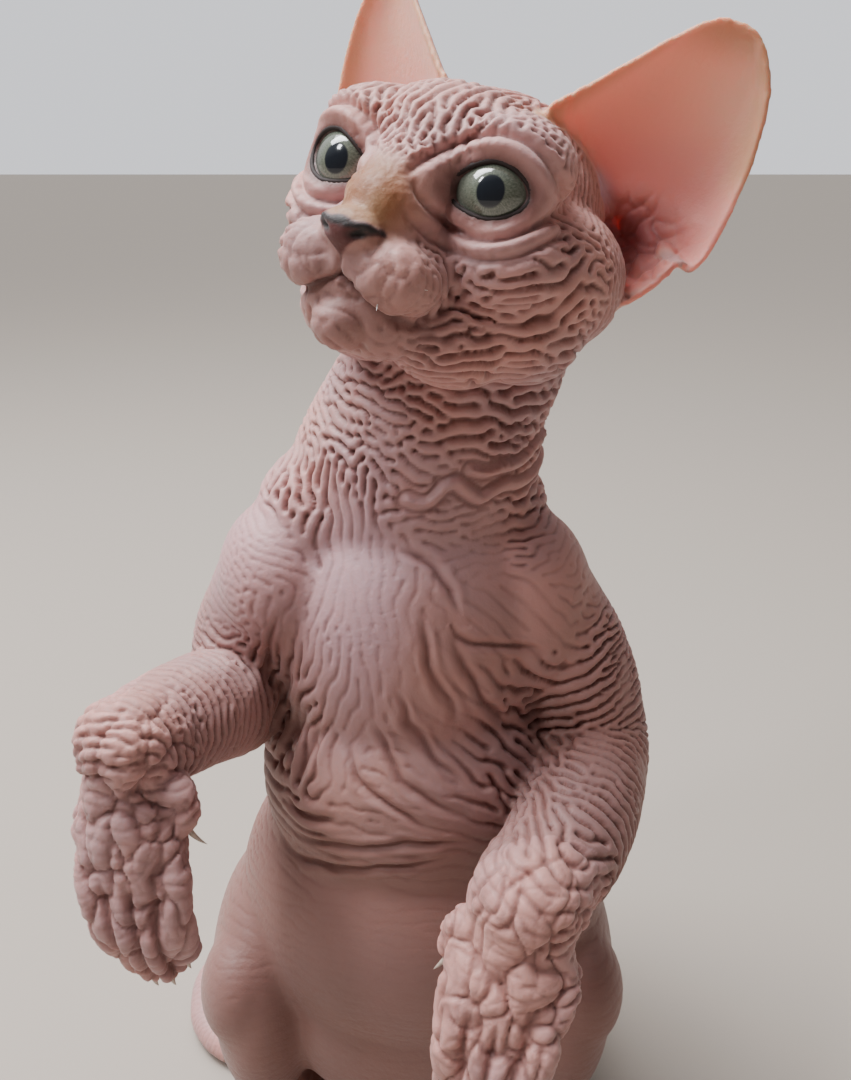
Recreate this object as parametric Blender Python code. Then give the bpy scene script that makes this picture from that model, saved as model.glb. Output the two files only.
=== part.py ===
"""A sphynx kitten sitting up on its haunches, life size, as a still model.

Metres, +Z up. The cat faces -Y, so its left side is +X. The floor is z = 0, and the origin lies
on the floor under the rump. The body is shaped as one mass of clay from balls and limbs, fused
and smoothed, and is then parted where a person would name its parts.
"""
import math

import bmesh
import bpy
import numpy as np
from mathutils import Matrix, Vector

# Driving sizes
GAP = 0.0003
BODY_VOXEL = 0.0014
HEAD_VOXEL = 0.0011
BODY_SOFTNESS = 0.0032
LIMB_SOFTNESS = 0.0016
HEAD_SOFTNESS = 0.0016
TAIL_VOXEL = 0.0011
TAIL_SOFTNESS = 0.0008
BODY_TRIANGLES = 3900
HEAD_TRIANGLES = 3800
TAIL_TRIANGLES = 700

# The head's own frame: x to the cat's left, y to the back, z up, origin inside the skull
HEAD_CENTRE = Vector((0.0109, -0.0043, 0.2425))
HEAD_YAW = math.radians(-29)
HEAD_PITCH_UP = math.radians(10)
HEAD_ROLL = math.radians(11.2)

EYE_CENTRE = {1: Vector((0.0144, -0.0224, 0.0023)), -1: Vector((-0.0158, -0.0222, 0.0016))}
EYE_RADIUS = 0.0085
EYE_OUTWARD = math.radians(14)
EYE_UPWARD = math.radians(4)
LID_THICKNESS = 0.0016
LID_TILT = math.radians(8)
LID_WIDTHS = (0.0076, 0.0069)
LID_HEIGHTS = (0.0052, 0.0046)
LID_ROLL_RISE = 0.0009
LID_CREASE_DEPTH = 0.0009
OPENING_STEPS = 16

# The muzzle, seen from the front in the head's own frame: across from its middle, and up
MUZZLE_X = -0.0013
MOUTH = [(0.0, -0.0168), (0.0030, -0.0186), (0.0060, -0.0206), (0.0100, -0.0222), (0.0140, -0.0220)]
MOUTH_DEPTH = 0.0017
LIP_RISE = 0.0006
NOSTRIL = (0.0036, -0.0094)
NOSTRIL_DEPTH = 0.0016

EAR_PLANE_TURN = math.radians(23)
EAR_PLANE_OFFSET = 0.0095
EAR_WALL = 0.0016
EAR_DEPTH = 0.0145
EAR_ROWS = 15
EAR_COLUMNS = 11

NECK_CUT = ((0.006, -0.002, 0.2035), (-4, 2))
CHEST_CUT = ((0.0, 0.0, 0.178), (-8, 0))


def head_matrix():
    """The head's pose in the model's frame."""
    turn = Matrix.Rotation(HEAD_YAW, 4, "Z") @ Matrix.Rotation(-HEAD_PITCH_UP, 4, "X")
    return Matrix.Translation(HEAD_CENTRE) @ turn @ Matrix.Rotation(HEAD_ROLL, 4, "Y")


def clear_scene():
    for item in list(bpy.data.objects):
        bpy.data.objects.remove(item, do_unlink=True)


def add_object(name, mesh):
    made = bpy.data.objects.new(name, mesh)
    bpy.context.scene.collection.objects.link(made)
    return made


def object_from_bmesh(name, shape):
    mesh = bpy.data.meshes.new(name)
    shape.to_mesh(mesh)
    shape.free()
    return add_object(name, mesh)


def bake_modifiers(made):
    """Replace the object's mesh with the result of its modifiers."""
    graph = bpy.context.evaluated_depsgraph_get()
    mesh = bpy.data.meshes.new_from_object(made.evaluated_get(graph), depsgraph=graph)
    made.modifiers.clear()
    made.data = mesh
    return made


def ball(clay, centre, radii, turn=None):
    """One ellipsoid of clay; turn is a 3x3 or 4x4 rotation for its axes."""
    place = Matrix.Translation(centre)
    if turn is not None:
        place = place @ turn.to_4x4()
    scale = Matrix.Diagonal((*radii, 1.0))
    bmesh.ops.create_icosphere(clay, subdivisions=4, radius=1.0, matrix=place @ scale)


def smooth_path(points, step):
    """Points about step apart on a smooth curve through rows of numbers (Catmull-Rom)."""
    rows = np.array(points, dtype=float)
    padded = np.vstack([2 * rows[0] - rows[1], rows, 2 * rows[-1] - rows[-2]])
    path = []
    for before, start, end, after in zip(padded, padded[1:], padded[2:], padded[3:]):
        count = max(2, int(np.linalg.norm((end - start)[:3]) / step))
        for t in np.arange(count) / count:
            path.append(0.5 * (2 * start + (end - before) * t
                               + (2 * before - 5 * start + 4 * end - after) * t ** 2
                               + (3 * start - before - 3 * end + after) * t ** 3))
    path.append(rows[-1])
    return np.array(path)


def limb(clay, points):
    """A round limb: balls along a smooth curve. Each point is (x, y, z, radius)."""
    for x, y, z, radius in smooth_path(points, 0.0022):
        place = Matrix.Translation((x, y, z)) @ Matrix.Scale(radius, 4)
        bmesh.ops.create_icosphere(clay, subdivisions=3, radius=1.0, matrix=place)


def fuse(made, voxel, softness):
    """Fuse overlapping clay into one skin and smooth it over about the given distance."""
    remesh = made.modifiers.new("Fuse", "REMESH")
    remesh.mode = "VOXEL"
    remesh.voxel_size = voxel
    soften = made.modifiers.new("Soften", "SMOOTH")
    soften.factor = 0.5
    soften.iterations = max(1, round(2.0 * (softness / voxel) ** 2))
    return bake_modifiers(made)


def join_clay(clay, made):
    """Add a finished mass back to loose clay."""
    clay.from_mesh(made.data)
    bpy.data.objects.remove(made, do_unlink=True)


def thin_out(made, triangles):
    """Reduce a mesh to about the given number of triangles."""
    shape = bmesh.new()
    shape.from_mesh(made.data)
    bmesh.ops.triangulate(shape, faces=shape.faces)
    count = len(shape.faces)
    shape.to_mesh(made.data)
    shape.free()
    if count > triangles:
        thin = made.modifiers.new("Thin out", "DECIMATE")
        thin.ratio = triangles / count
        thin.use_collapse_triangulate = True
        bake_modifiers(made)
    return made


def boolean(made, cutter, operation, solver="EXACT"):
    step = made.modifiers.new(operation, "BOOLEAN")
    step.operation = operation
    step.solver = solver
    step.object = cutter
    return bake_modifiers(made)


def keep_largest(made):
    """Keep only the largest closed surface of the mesh, which drops scraps left by a cut."""
    shape = bmesh.new()
    shape.from_mesh(made.data)
    bmesh.ops.triangulate(shape, faces=shape.faces)
    shape.verts.ensure_lookup_table()
    groups = []
    seen = set()
    for vert in shape.verts:
        if vert.index in seen:
            continue
        group = []
        queue = [vert]
        seen.add(vert.index)
        while queue:
            here = queue.pop()
            group.append(here)
            for edge in here.link_edges:
                other = edge.other_vert(here)
                if other.index not in seen:
                    seen.add(other.index)
                    queue.append(other)
        groups.append(group)
    groups.sort(key=len, reverse=True)
    spare = [vert for group in groups[1:] for vert in group]
    bmesh.ops.delete(shape, geom=spare, context="VERTS")
    shape.to_mesh(made.data)
    shape.free()
    return made


def copy_object(made, name):
    return add_object(name, made.data.copy())


def slab(name, centre, turns, size=0.4, above=True, shift=0.0):
    """A big block on one side of a plane through centre; turns are its tilts about X and Y."""
    tilt = Matrix.Rotation(math.radians(turns[0]), 4, "X") @ Matrix.Rotation(math.radians(turns[1]), 4, "Y")
    side = 1 if above else -1
    lift = Matrix.Translation((0, 0, side * (size / 2 + shift)))
    shape = bmesh.new()
    bmesh.ops.create_cube(shape, size=size, matrix=Matrix.Translation(centre) @ tilt @ lift)
    return object_from_bmesh(name, shape)


def split_by(made, name, make_cutter):
    """Take the part of made inside a cutter as a new node, and leave a thin gap round it."""
    piece = copy_object(made, name)
    inner = make_cutter(0.0)
    boolean(piece, inner, "INTERSECT")
    keep_largest(piece)
    outer = make_cutter(GAP)
    boolean(made, outer, "DIFFERENCE")
    keep_largest(made)
    for cutter in (inner, outer):
        bpy.data.objects.remove(cutter, do_unlink=True)
    return piece


def hull_cutter(points):
    """A plain convex cutter round a few balls, each given as (x, y, z, radius)."""
    def make(grow):
        balls = bmesh.new()
        for x, y, z, radius in points:
            place = Matrix.Translation((x, y, z)) @ Matrix.Scale(radius + grow, 4)
            bmesh.ops.create_icosphere(balls, subdivisions=2, radius=1.03, matrix=place)
        shape = bmesh.new()
        for vert in balls.verts:
            shape.verts.new(vert.co)
        balls.free()
        bmesh.ops.convex_hull(shape, input=shape.verts)
        spare = [vert for vert in shape.verts if not vert.link_faces]
        bmesh.ops.delete(shape, geom=spare, context="VERTS")
        bmesh.ops.dissolve_limit(shape, angle_limit=math.radians(1), verts=shape.verts, edges=shape.edges)
        bmesh.ops.triangulate(shape, faces=shape.faces)
        bmesh.ops.recalc_face_normals(shape, faces=shape.faces)
        return object_from_bmesh("Cutter", shape)
    return make


def slab_cutter(centre, turns):
    def make(grow):
        return slab("Cutter", centre, turns, shift=-grow)
    return make


def cut_away(made, centre, turns, above, shift=0.0):
    """Remove what lies on one side of a plane."""
    cutter = slab("Cutter", centre, turns, above=above, shift=shift)
    boolean(made, cutter, "DIFFERENCE")
    bpy.data.objects.remove(cutter, do_unlink=True)


def keep_clear(made, other):
    """Cut made back so that a thin gap stays between it and the node that it grows from."""
    grown = copy_object(other, "Grown")
    swell = grown.modifiers.new("Swell", "DISPLACE")
    swell.strength = GAP * 1.3
    swell.mid_level = 0.0
    bake_modifiers(grown)
    boolean(made, grown, "DIFFERENCE")
    bpy.data.objects.remove(grown, do_unlink=True)
    return keep_largest(made)


NECK = [(-0.004, 0.012, 0.160, 0.0310), (-0.003, 0.009, 0.180, 0.0295), (0.004, 0.004, 0.203, 0.0242),
        (0.009, 0.004, 0.216, 0.0235), (0.011, 0.004, 0.232, 0.0235)]


def torso_clay():
    clay = bmesh.new()
    ball(clay, (-0.003, 0.002, 0.143), (0.036, 0.033, 0.042))
    ball(clay, (0.000, 0.010, 0.171), (0.030, 0.027, 0.024))
    ball(clay, (-0.001, 0.000, 0.105), (0.041, 0.038, 0.040))
    ball(clay, (-0.001, -0.001, 0.068), (0.049, 0.044, 0.046))
    ball(clay, (-0.002, -0.002, 0.043), (0.044, 0.041, 0.040))
    ball(clay, (-0.002, 0.018, 0.036), (0.045, 0.036, 0.038))
    ball(clay, (0.000, 0.006, 0.0200), (0.030, 0.028, 0.0240))
    limb(clay, [(0.000, 0.020, 0.182, 0.014), (0.000, 0.032, 0.145, 0.014), (0.000, 0.038, 0.105, 0.014),
                (0.000, 0.042, 0.065, 0.014), (0.000, 0.038, 0.025, 0.014)])
    limb(clay, NECK)
    for side in (-1, 1):
        middle = THIGH_X[side]
        ball(clay, (middle, -0.006, 0.042), (0.0160, 0.033, 0.036))
        ball(clay, (middle + side * 0.004, -0.024, 0.052), (0.0115, 0.014, 0.016))
    ball(clay, (0.025, -0.002, 0.150), (0.016, 0.020, 0.026))
    ball(clay, (-0.0345, -0.003, 0.159), (0.0150, 0.018, 0.020))
    ball(clay, (0.013, 0.004, 0.172), (0.014, 0.018, 0.018))
    ball(clay, (-0.0255, 0.003, 0.173), (0.0150, 0.018, 0.0165))
    return clay


# Along a toe: share of the paw's length, rise out of its back, and share of the toe's radius
PAW_TOE = [(0.35, 0.000, 0.95), (0.56, 0.0024, 1.05), (0.74, 0.0022, 1.00), (0.86, -0.001, 0.92),
           (0.94, -0.004, 0.88)]


def toe_spread(reach):
    """How far the outer toes lie from the paw's middle, in widths: less towards the tip."""
    return 0.43 - 0.20 * reach


def paw(clay, side, wrist, tip, normal, width, toe_radius):
    """A hanging forepaw: the mass behind the knuckles, four toes and the thumb on the inner side."""
    wrist = Vector(wrist)
    along = Vector(tip) - wrist
    length = along.length
    along.normalize()
    normal = Vector(normal)
    normal = (normal - along * normal.dot(along)).normalized()
    across = along.cross(normal)
    turn = Matrix((across, along, normal)).transposed()
    ball(clay, wrist + along * length * 0.30, (width * 0.44, length * 0.42, width * 0.33), turn)
    for index in range(4):
        share = (index - 1.5) / 1.5
        path = []
        for reach, lift, size in PAW_TOE:
            spot = wrist + along * length * (reach - 0.08 * share * share) + normal * lift
            spot += across * share * width * toe_spread(reach)
            path.append((*spot, size * toe_radius))
        limb(clay, path)
    ball(clay, wrist + along * length * 0.23 + across * side * width * 0.43, (0.0038, 0.0064, 0.0045), turn)


THIGH_X = {-1: -0.0430, 1: 0.0360}
FOOT_X = {-1: -0.0365, 1: 0.0320}
LEFT_ARM = [(0.021, -0.002, 0.160, 0.0165), (0.0335, -0.004, 0.138, 0.0165), (0.040, -0.010, 0.118, 0.0150),
            (0.034, -0.034, 0.112, 0.0135), (0.021, -0.056, 0.110, 0.0120)]
RIGHT_ARM = [(-0.034, -0.002, 0.160, 0.0155), (-0.042, -0.001, 0.144, 0.0145), (-0.046, -0.006, 0.130, 0.0135),
             (-0.053, -0.028, 0.137, 0.0125), (-0.060, -0.049, 0.143, 0.0105)]
LEFT_PAW = ((0.021, -0.056, 0.110), (0.010, -0.074, 0.065), (-0.2, -0.9, 0.3), 0.028, 0.0045)
RIGHT_PAW = ((-0.061, -0.050, 0.142), (-0.056, -0.063, 0.092), (-0.1, -0.9, 0.3), 0.024, 0.0040)


def limbs_clay(clay):
    limb(clay, LEFT_ARM)
    limb(clay, RIGHT_ARM)
    paw(clay, 1, *LEFT_PAW)
    paw(clay, -1, *RIGHT_PAW)


HIND_HEEL_Y = 0.022
HIND_TOE_Y = -0.038


def hind_foot(clay, side):
    """A flat hind foot from heel to toes on the floor."""
    middle = FOOT_X[side]
    limb(clay, [(middle + side * 0.003, HIND_HEEL_Y, 0.0095, 0.0095), (middle + side * 0.001, 0.000, 0.0085, 0.0085),
                (middle - side * 0.001, HIND_TOE_Y + 0.018, 0.0080, 0.0085)])
    for index in range(4):
        across = (index - 1.5) * 0.0053
        reach = HIND_TOE_Y + 0.006 + 0.0012 * abs(index - 1.5)
        ball(clay, (middle + across, reach + 0.006, 0.0068), (0.0037, 0.008, 0.0050))
        ball(clay, (middle + across, reach, 0.0050), (0.0036, 0.0052, 0.0042))


TAIL = [(0.000, 0.040, 0.0105, 0.0085), (-0.030, 0.044, 0.0075, 0.0065), (-0.056, 0.038, 0.0055, 0.0055),
        (-0.0685, 0.024, 0.0050, 0.0050), (-0.0690, 0.010, 0.0046, 0.0046), (-0.0640, 0.001, 0.0044, 0.0044),
        (-0.0570, -0.004, 0.0041, 0.0041), (-0.0535, -0.0053, 0.0039, 0.0038)]


def head_clay():
    """The head in its own frame."""
    clay = bmesh.new()
    ball(clay, (0, 0.005, 0.001), (0.0238, 0.0320, 0.0225))
    ball(clay, (0, -0.014, 0.006), (0.0200, 0.0180, 0.0150))
    limb(clay, [(0, -0.016, 0.009, 0.0100), (0, -0.026, 0.003, 0.0090), (0, -0.0345, -0.0045, 0.0080)])
    ball(clay, (MUZZLE_X, -0.030, -0.014), (0.0145, 0.0140, 0.0110))
    ball(clay, (0, -0.014, -0.019), (0.0200, 0.0210, 0.0100))
    ball(clay, (MUZZLE_X, -0.0315, -0.0232), (0.0130, 0.0105, 0.0080))
    for side in (-1, 1):
        ball(clay, (side * 0.018, -0.003, -0.009), (0.0165, 0.0210, 0.0150))
        ball(clay, (side * 0.019, -0.007, -0.017), (0.0125, 0.0170, 0.0130))
        ball(clay, (side * 0.009, -0.017, -0.0225), (0.0140, 0.0150, 0.0110))
        ball(clay, (side * 0.014, -0.019, 0.009), (0.0120, 0.0110, 0.0085))
        ball(clay, (side * 0.018, -0.020, -0.0075), (0.0115, 0.0115, 0.0100))
    return clay


def muzzle_clay(clay):
    """Finer forms of the face, fused after the first smoothing."""
    ball(clay, (MUZZLE_X, -0.0428, -0.0090), (0.0060, 0.0036, 0.0038))
    ball(clay, (MUZZLE_X, -0.0385, -0.0250), (0.0056, 0.0060, 0.0052))
    for side in (-1, 1):
        ball(clay, (MUZZLE_X + side * 0.0078, -0.0362, -0.0152), (0.0088, 0.0084, 0.0074))
        ball(clay, EYE_CENTRE[side], (EYE_RADIUS + LID_THICKNESS,) * 3)


def gaze_matrix(side):
    """A frame at an eye: its -Y axis is the line of sight."""
    turn = Matrix.Rotation(side * EYE_OUTWARD, 4, "Z") @ Matrix.Rotation(-EYE_UPWARD, 4, "X")
    return Matrix.Translation(EYE_CENTRE[side]) @ turn


def lid_reach(along, rise):
    """The oval of the lids: 1 on its edge. Along grows away from the nose."""
    wide = abs(along) / LID_WIDTHS[0 if along < 0 else 1]
    tall = abs(rise) / LID_HEIGHTS[0 if rise > 0 else 1]
    return math.hypot(wide, tall)


def eye_opening(side):
    """An almond prism in front of the eye that cuts the opening between the lids."""
    outline = []
    for index in range(OPENING_STEPS):
        angle = 2 * math.pi * index / OPENING_STEPS
        size = 1 / lid_reach(math.cos(angle), math.sin(angle))
        turned = angle + LID_TILT
        outline.append((side * size * math.cos(turned), size * math.sin(turned)))
    shape = bmesh.new()
    near = [shape.verts.new((x * 0.55, -0.0005, z * 0.55)) for x, z in outline]
    far = [shape.verts.new((x * 1.45, -0.016, z * 1.45)) for x, z in outline]
    shape.faces.new(near)
    shape.faces.new(list(reversed(far)))
    for index in range(OPENING_STEPS):
        after = (index + 1) % OPENING_STEPS
        shape.faces.new((near[index], far[index], far[after], near[after]))
    bmesh.ops.recalc_face_normals(shape, faces=shape.faces)
    shape.transform(gaze_matrix(side))
    return object_from_bmesh("Cutter", shape)


def bell(value, middle, width):
    return math.exp(-((value - middle) / width) ** 2)


def gap_to_line(spot, line):
    """Distance in a plane from a spot to a line of straight stretches."""
    best = 1.0
    for start, end in zip(line, line[1:]):
        start = Vector(start)
        run = Vector(end) - start
        share = min(max((spot - start).dot(run) / run.length_squared, 0), 1)
        best = min(best, (spot - start - share * run).length)
    return best


def muzzle_relief(spot):
    """How far the muzzle's surface rises at a spot of the head's own frame, in metres."""
    if spot.y > -0.028 or spot.z > 0.0:
        return 0.0
    flat = Vector((abs(spot.x - MUZZLE_X), spot.z))
    mouth = gap_to_line(flat, MOUTH)
    relief = LIP_RISE * bell(mouth, 0.0024, 0.0009) - MOUTH_DEPTH * bell(mouth, 0, 0.0009)
    if spot.y < -0.038:
        relief -= NOSTRIL_DEPTH * bell(flat.x, NOSTRIL[0], 0.0015) * bell(flat.y, NOSTRIL[1], 0.0009)
    return relief


def lid_relief(spot, side):
    """The roll of the lids and the crease behind it."""
    seen = gaze_matrix(side).inverted() @ spot
    if seen.y > 0 or seen.length > 0.018:
        return 0.0
    cos, sin = math.cos(LID_TILT), math.sin(LID_TILT)
    along = side * seen.x * cos + seen.z * sin
    rise = seen.z * cos - side * seen.x * sin
    gap = math.hypot(along, rise) * (1 - 1 / max(lid_reach(along, rise), 0.1))
    return LID_ROLL_RISE * bell(gap, 0.0026, 0.0014) - LID_CREASE_DEPTH * bell(gap, 0.0050, 0.0010)


def press_face(head):
    """Press the line of the mouth, the lips, the nostrils and the lids into the head."""
    shape = bmesh.new()
    shape.from_mesh(head.data)
    shape.normal_update()
    to_head = head_matrix().inverted()
    moves = []
    for vert in shape.verts:
        spot = to_head @ vert.co
        moves.append(vert.normal * (muzzle_relief(spot) + lid_relief(spot, 1) + lid_relief(spot, -1)))
    for vert, move in zip(shape.verts, moves):
        vert.co += move
    shape.to_mesh(head.data)
    shape.free()


def ear_point(across, up, forward=0.0):
    """A point of the left ear from its own plane: across to the side, up, and forward of it."""
    cos, sin = math.cos(EAR_PLANE_TURN), math.sin(EAR_PLANE_TURN)
    reach = EAR_PLANE_OFFSET + forward
    return Vector((across * cos + reach * sin, across * sin - reach * cos, up))


EAR_INNER_EDGE = [(0.0060, 0.0080), (0.0085, 0.0207), (0.0123, 0.0246), (0.0160, 0.0279), (0.0220, 0.0333),
                  (0.0280, 0.0386), (0.0325, 0.0418), (0.0360, 0.0430)]
EAR_OUTER_EDGE = [(0.0260, -0.0150), (0.0345, -0.0087), (0.0395, -0.0026), (0.0410, 0.0004), (0.0438, -0.0004),
                  (0.0458, 0.0030), (0.0468, 0.0080), (0.0476, 0.0140),
                  (0.0481, 0.0218), (0.0470, 0.0330), (0.0430, 0.0405), (0.0385, 0.0430)]


def edge_at(points, share):
    """The point at a share of the way along an edge, on a smooth curve."""
    path = smooth_path([(*p, 0.0) for p in points], 0.0005)
    steps = np.linalg.norm(np.diff(path, axis=0), axis=1)
    length = np.concatenate([[0], np.cumsum(steps)])
    where = share * length[-1]
    return [float(np.interp(where, length, path[:, axis])) for axis in (0, 1)]


def ear_bowl(s):
    """The share of an ear's depth from its inner edge at -1 to its outer edge at 1."""
    return (1 - s * s) ** 0.7 * (1 + 0.35 * s)


def ear_shell(side):
    """A cupped ear: a bent sheet between its two edges, thickened. The head's frame."""
    shape = bmesh.new()
    grid = []
    for row in range(EAR_ROWS):
        share = row / (EAR_ROWS - 1)
        inner = Vector(edge_at(EAR_INNER_EDGE, share))
        outer = Vector(edge_at(EAR_OUTER_EDGE, share))
        depth = EAR_DEPTH * (1 - share) ** 0.8 + 0.0006
        line = []
        for column in range(EAR_COLUMNS):
            s = 2 * column / (EAR_COLUMNS - 1) - 1
            spot = inner.lerp(outer, (s + 1) / 2)
            point = ear_point(spot.x, spot.y, -depth * ear_bowl(s))
            line.append(shape.verts.new((side * point.x, point.y, point.z)))
        grid.append(line)
    for lower, upper in zip(grid, grid[1:]):
        for left, right in zip(range(EAR_COLUMNS), range(1, EAR_COLUMNS)):
            corners = (lower[left], lower[right], upper[right], upper[left])
            shape.faces.new(corners if side > 0 else tuple(reversed(corners)))
    made = object_from_bmesh("Ear", shape)
    thick = made.modifiers.new("Wall", "SOLIDIFY")
    thick.thickness = EAR_WALL
    thick.offset = 0.0
    thick.use_even_offset = True
    return bake_modifiers(made)


def paint(made, colour, roughness=0.55, metallic=0.0):
    """Give a node its own material."""
    material = bpy.data.materials.new(made.name + "_skin")
    material.use_nodes = True
    surface = material.node_tree.nodes["Principled BSDF"]
    surface.inputs["Base Color"].default_value = (*colour, 1.0)
    surface.inputs["Roughness"].default_value = roughness
    surface.inputs["Metallic"].default_value = metallic
    made.data.materials.clear()
    made.data.materials.append(material)


def build_body():
    torso = fuse(object_from_bmesh("Torso", torso_clay()), BODY_VOXEL, BODY_SOFTNESS)
    clay = bmesh.new()
    join_clay(clay, torso)
    limbs_clay(clay)
    for side in (-1, 1):
        hind_foot(clay, side)
    body = fuse(object_from_bmesh("Body", clay), BODY_VOXEL, LIMB_SOFTNESS)
    cut_away(body, (0, 0, 0), (0, 0), above=False)
    cut_away(body, *NECK_CUT, above=True, shift=-GAP)
    return thin_out(keep_largest(body), BODY_TRIANGLES)


def build_head():
    head = fuse(object_from_bmesh("Head mass", head_clay()), HEAD_VOXEL, HEAD_SOFTNESS)
    clay = bmesh.new()
    join_clay(clay, head)
    muzzle_clay(clay)
    clay.transform(head_matrix())
    limb(clay, NECK[1:])
    head = fuse(object_from_bmesh("head", clay), HEAD_VOXEL, HEAD_SOFTNESS * 0.7)
    press_face(head)
    cut_away(head, *NECK_CUT, above=False)
    thin_out(keep_largest(head), HEAD_TRIANGLES)
    for side in (-1, 1):
        socket = bmesh.new()
        bmesh.ops.create_icosphere(socket, subdivisions=3, radius=EYE_RADIUS + GAP,
                                   matrix=head_matrix() @ gaze_matrix(side))
        socket = object_from_bmesh("Socket", socket)
        boolean(head, socket, "DIFFERENCE")
        opening = eye_opening(side)
        opening.data.transform(head_matrix())
        boolean(head, opening, "DIFFERENCE")
        for cutter in (socket, opening):
            bpy.data.objects.remove(cutter, do_unlink=True)
    return keep_largest(head)


def build_eye(side, name):
    shape = bmesh.new()
    bmesh.ops.create_icosphere(shape, subdivisions=3, radius=EYE_RADIUS,
                               matrix=head_matrix() @ gaze_matrix(side))
    return object_from_bmesh(name, shape)


def build_ear(side, name, head):
    ear = ear_shell(side)
    ear.name = name
    ear.data.transform(head_matrix())
    return keep_clear(ear, head)


def part_body(body):
    """Part the body into its named nodes, each split leaving a thin gap."""
    nodes = []
    for side, name, arm in ((1, "left", LEFT_ARM), (-1, "right", RIGHT_ARM)):
        wrist = Vector(arm[-1][:3])
        elbow = Vector(arm[2][:3])
        paw_points = {1: LEFT_PAW, -1: RIGHT_PAW}[side]
        tip = Vector(paw_points[1])
        along = (tip - wrist).normalized()
        spots = [(*(wrist + along * d), 0.021) for d in (0.018, 0.034, 0.05, 0.06)]
        nodes.append(split_by(body, "forepaw_" + name, hull_cutter(spots)))
        fore = (wrist - elbow).normalized()
        spots = [(*(elbow + fore * d), 0.0185) for d in (0.018, 0.032, 0.046, 0.06)]
        nodes.append(split_by(body, "foreleg_lower_" + name, hull_cutter(spots)))
        spots = [(x, y, z, r + 0.0035) for x, y, z, r in arm[:3]]
        nodes.append(split_by(body, "foreleg_upper_" + name, hull_cutter(spots)))
    for side, name in ((1, "left"), (-1, "right")):
        middle = FOOT_X[side]
        spots = [(middle, 0.036, 0.004, 0.0135), (middle, 0.000, 0.004, 0.0125),
                 (middle, -0.022, 0.002, 0.0170), (middle, -0.040, 0.002, 0.0170)]
        nodes.append(split_by(body, "hind_foot_" + name, hull_cutter(spots)))
        middle = THIGH_X[side] + side * 0.008
        spots = [(middle, -0.030, 0.036, 0.0165), (middle, -0.010, 0.026, 0.0160), (middle, 0.014, 0.020, 0.0160)]
        nodes.append(split_by(body, "hind_leg_lower_" + name, hull_cutter(spots)))
        spots = [(middle, -0.030, 0.062, 0.0200), (middle, -0.006, 0.050, 0.0230), (middle, 0.016, 0.036, 0.0230)]
        nodes.append(split_by(body, "thigh_" + name, hull_cutter(spots)))
    nodes.append(split_by(body, "neck", slab_cutter(*CHEST_CUT)))
    nodes.append(split_by(body, "chest", slab_cutter((0, 0, 0.113), (6, 0))))
    nodes.append(split_by(body, "belly", slab_cutter((0, 0.020, 0.058), (25, 0))))
    body.name = "rump"
    nodes.append(body)
    return nodes


def build_tail(rump):
    """The tail lies on the floor round the cat's right side, in three lengths."""
    clay = bmesh.new()
    limb(clay, TAIL)
    tail = fuse(object_from_bmesh("tail_base", clay), TAIL_VOXEL, TAIL_SOFTNESS)
    cut_away(tail, (0, 0, 0), (0, 0), above=False)
    keep_clear(thin_out(tail, TAIL_TRIANGLES), rump)
    tip = split_by(tail, "tail_tip", slab_cutter((-0.0690, 0.010, 0.0), (90, 0)))
    middle = split_by(tail, "tail_middle", slab_cutter((-0.040, 0.042, 0.0), (0, -90)))
    return [tail, middle, tip]


SKIN = (0.60, 0.42, 0.38)
EAR_SKIN = (0.66, 0.38, 0.30)
EYE_COLOUR = (0.30, 0.36, 0.30)


def build():
    clear_scene()
    body = build_body()
    head = build_head()
    nodes = part_body(body)
    rump = nodes[-1]
    nodes += build_tail(rump)
    for side, name in ((1, "left"), (-1, "right")):
        ear = build_ear(side, "ear_" + name, head)
        paint(ear, EAR_SKIN)
        eye = build_eye(side, "eye_" + name)
        paint(eye, EYE_COLOUR, 0.1)
    nodes.append(head)
    for node in nodes:
        paint(node, SKIN)


build()
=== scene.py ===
"""The looks of the sphynx kitten: one wrinkled skin over the solids, glossy eyes, lids and claws.

The skin is shaped as the solids are, from the same balls and limbs but finer, and then folded:
lids, mouth and ears by given creases, the rest by a pattern that grows over the surface along
the way the real skin folds. Lengths are in metres where pieces are made, and in millimetres in
the arrays that fold the skin.
"""
import math

import bmesh
import bpy
import numpy as np
from mathutils import Matrix, Vector


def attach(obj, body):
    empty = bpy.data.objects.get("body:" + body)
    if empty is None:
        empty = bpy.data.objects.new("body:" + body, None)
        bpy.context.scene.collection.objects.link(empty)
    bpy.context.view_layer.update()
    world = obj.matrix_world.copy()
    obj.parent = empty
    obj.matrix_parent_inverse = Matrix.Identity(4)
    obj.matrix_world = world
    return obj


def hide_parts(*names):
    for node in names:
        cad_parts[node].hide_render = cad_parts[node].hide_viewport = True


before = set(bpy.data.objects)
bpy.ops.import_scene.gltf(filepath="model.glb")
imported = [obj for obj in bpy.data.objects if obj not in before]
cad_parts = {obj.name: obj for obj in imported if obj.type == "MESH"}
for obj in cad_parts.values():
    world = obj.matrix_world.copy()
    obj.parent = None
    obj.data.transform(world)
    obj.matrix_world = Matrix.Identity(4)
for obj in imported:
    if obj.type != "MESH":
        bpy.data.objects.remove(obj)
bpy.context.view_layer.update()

MM = 1000.0

SKIN_VOXEL = 0.0005
ROUGH_VOXEL = 0.0009
BODY_SOFTNESS = 0.0030
LIMB_SOFTNESS = 0.0014
HEAD_SOFTNESS = 0.0014
FINAL_SOFTNESS = 0.0006

# The head's own frame: x to the cat's left, y to the back, z up, origin inside the skull
HEAD_CENTRE = Vector((0.0109, -0.0043, 0.2425))
HEAD_YAW = math.radians(-29)
HEAD_PITCH_UP = math.radians(10)
HEAD_ROLL = math.radians(11.2)

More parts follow.
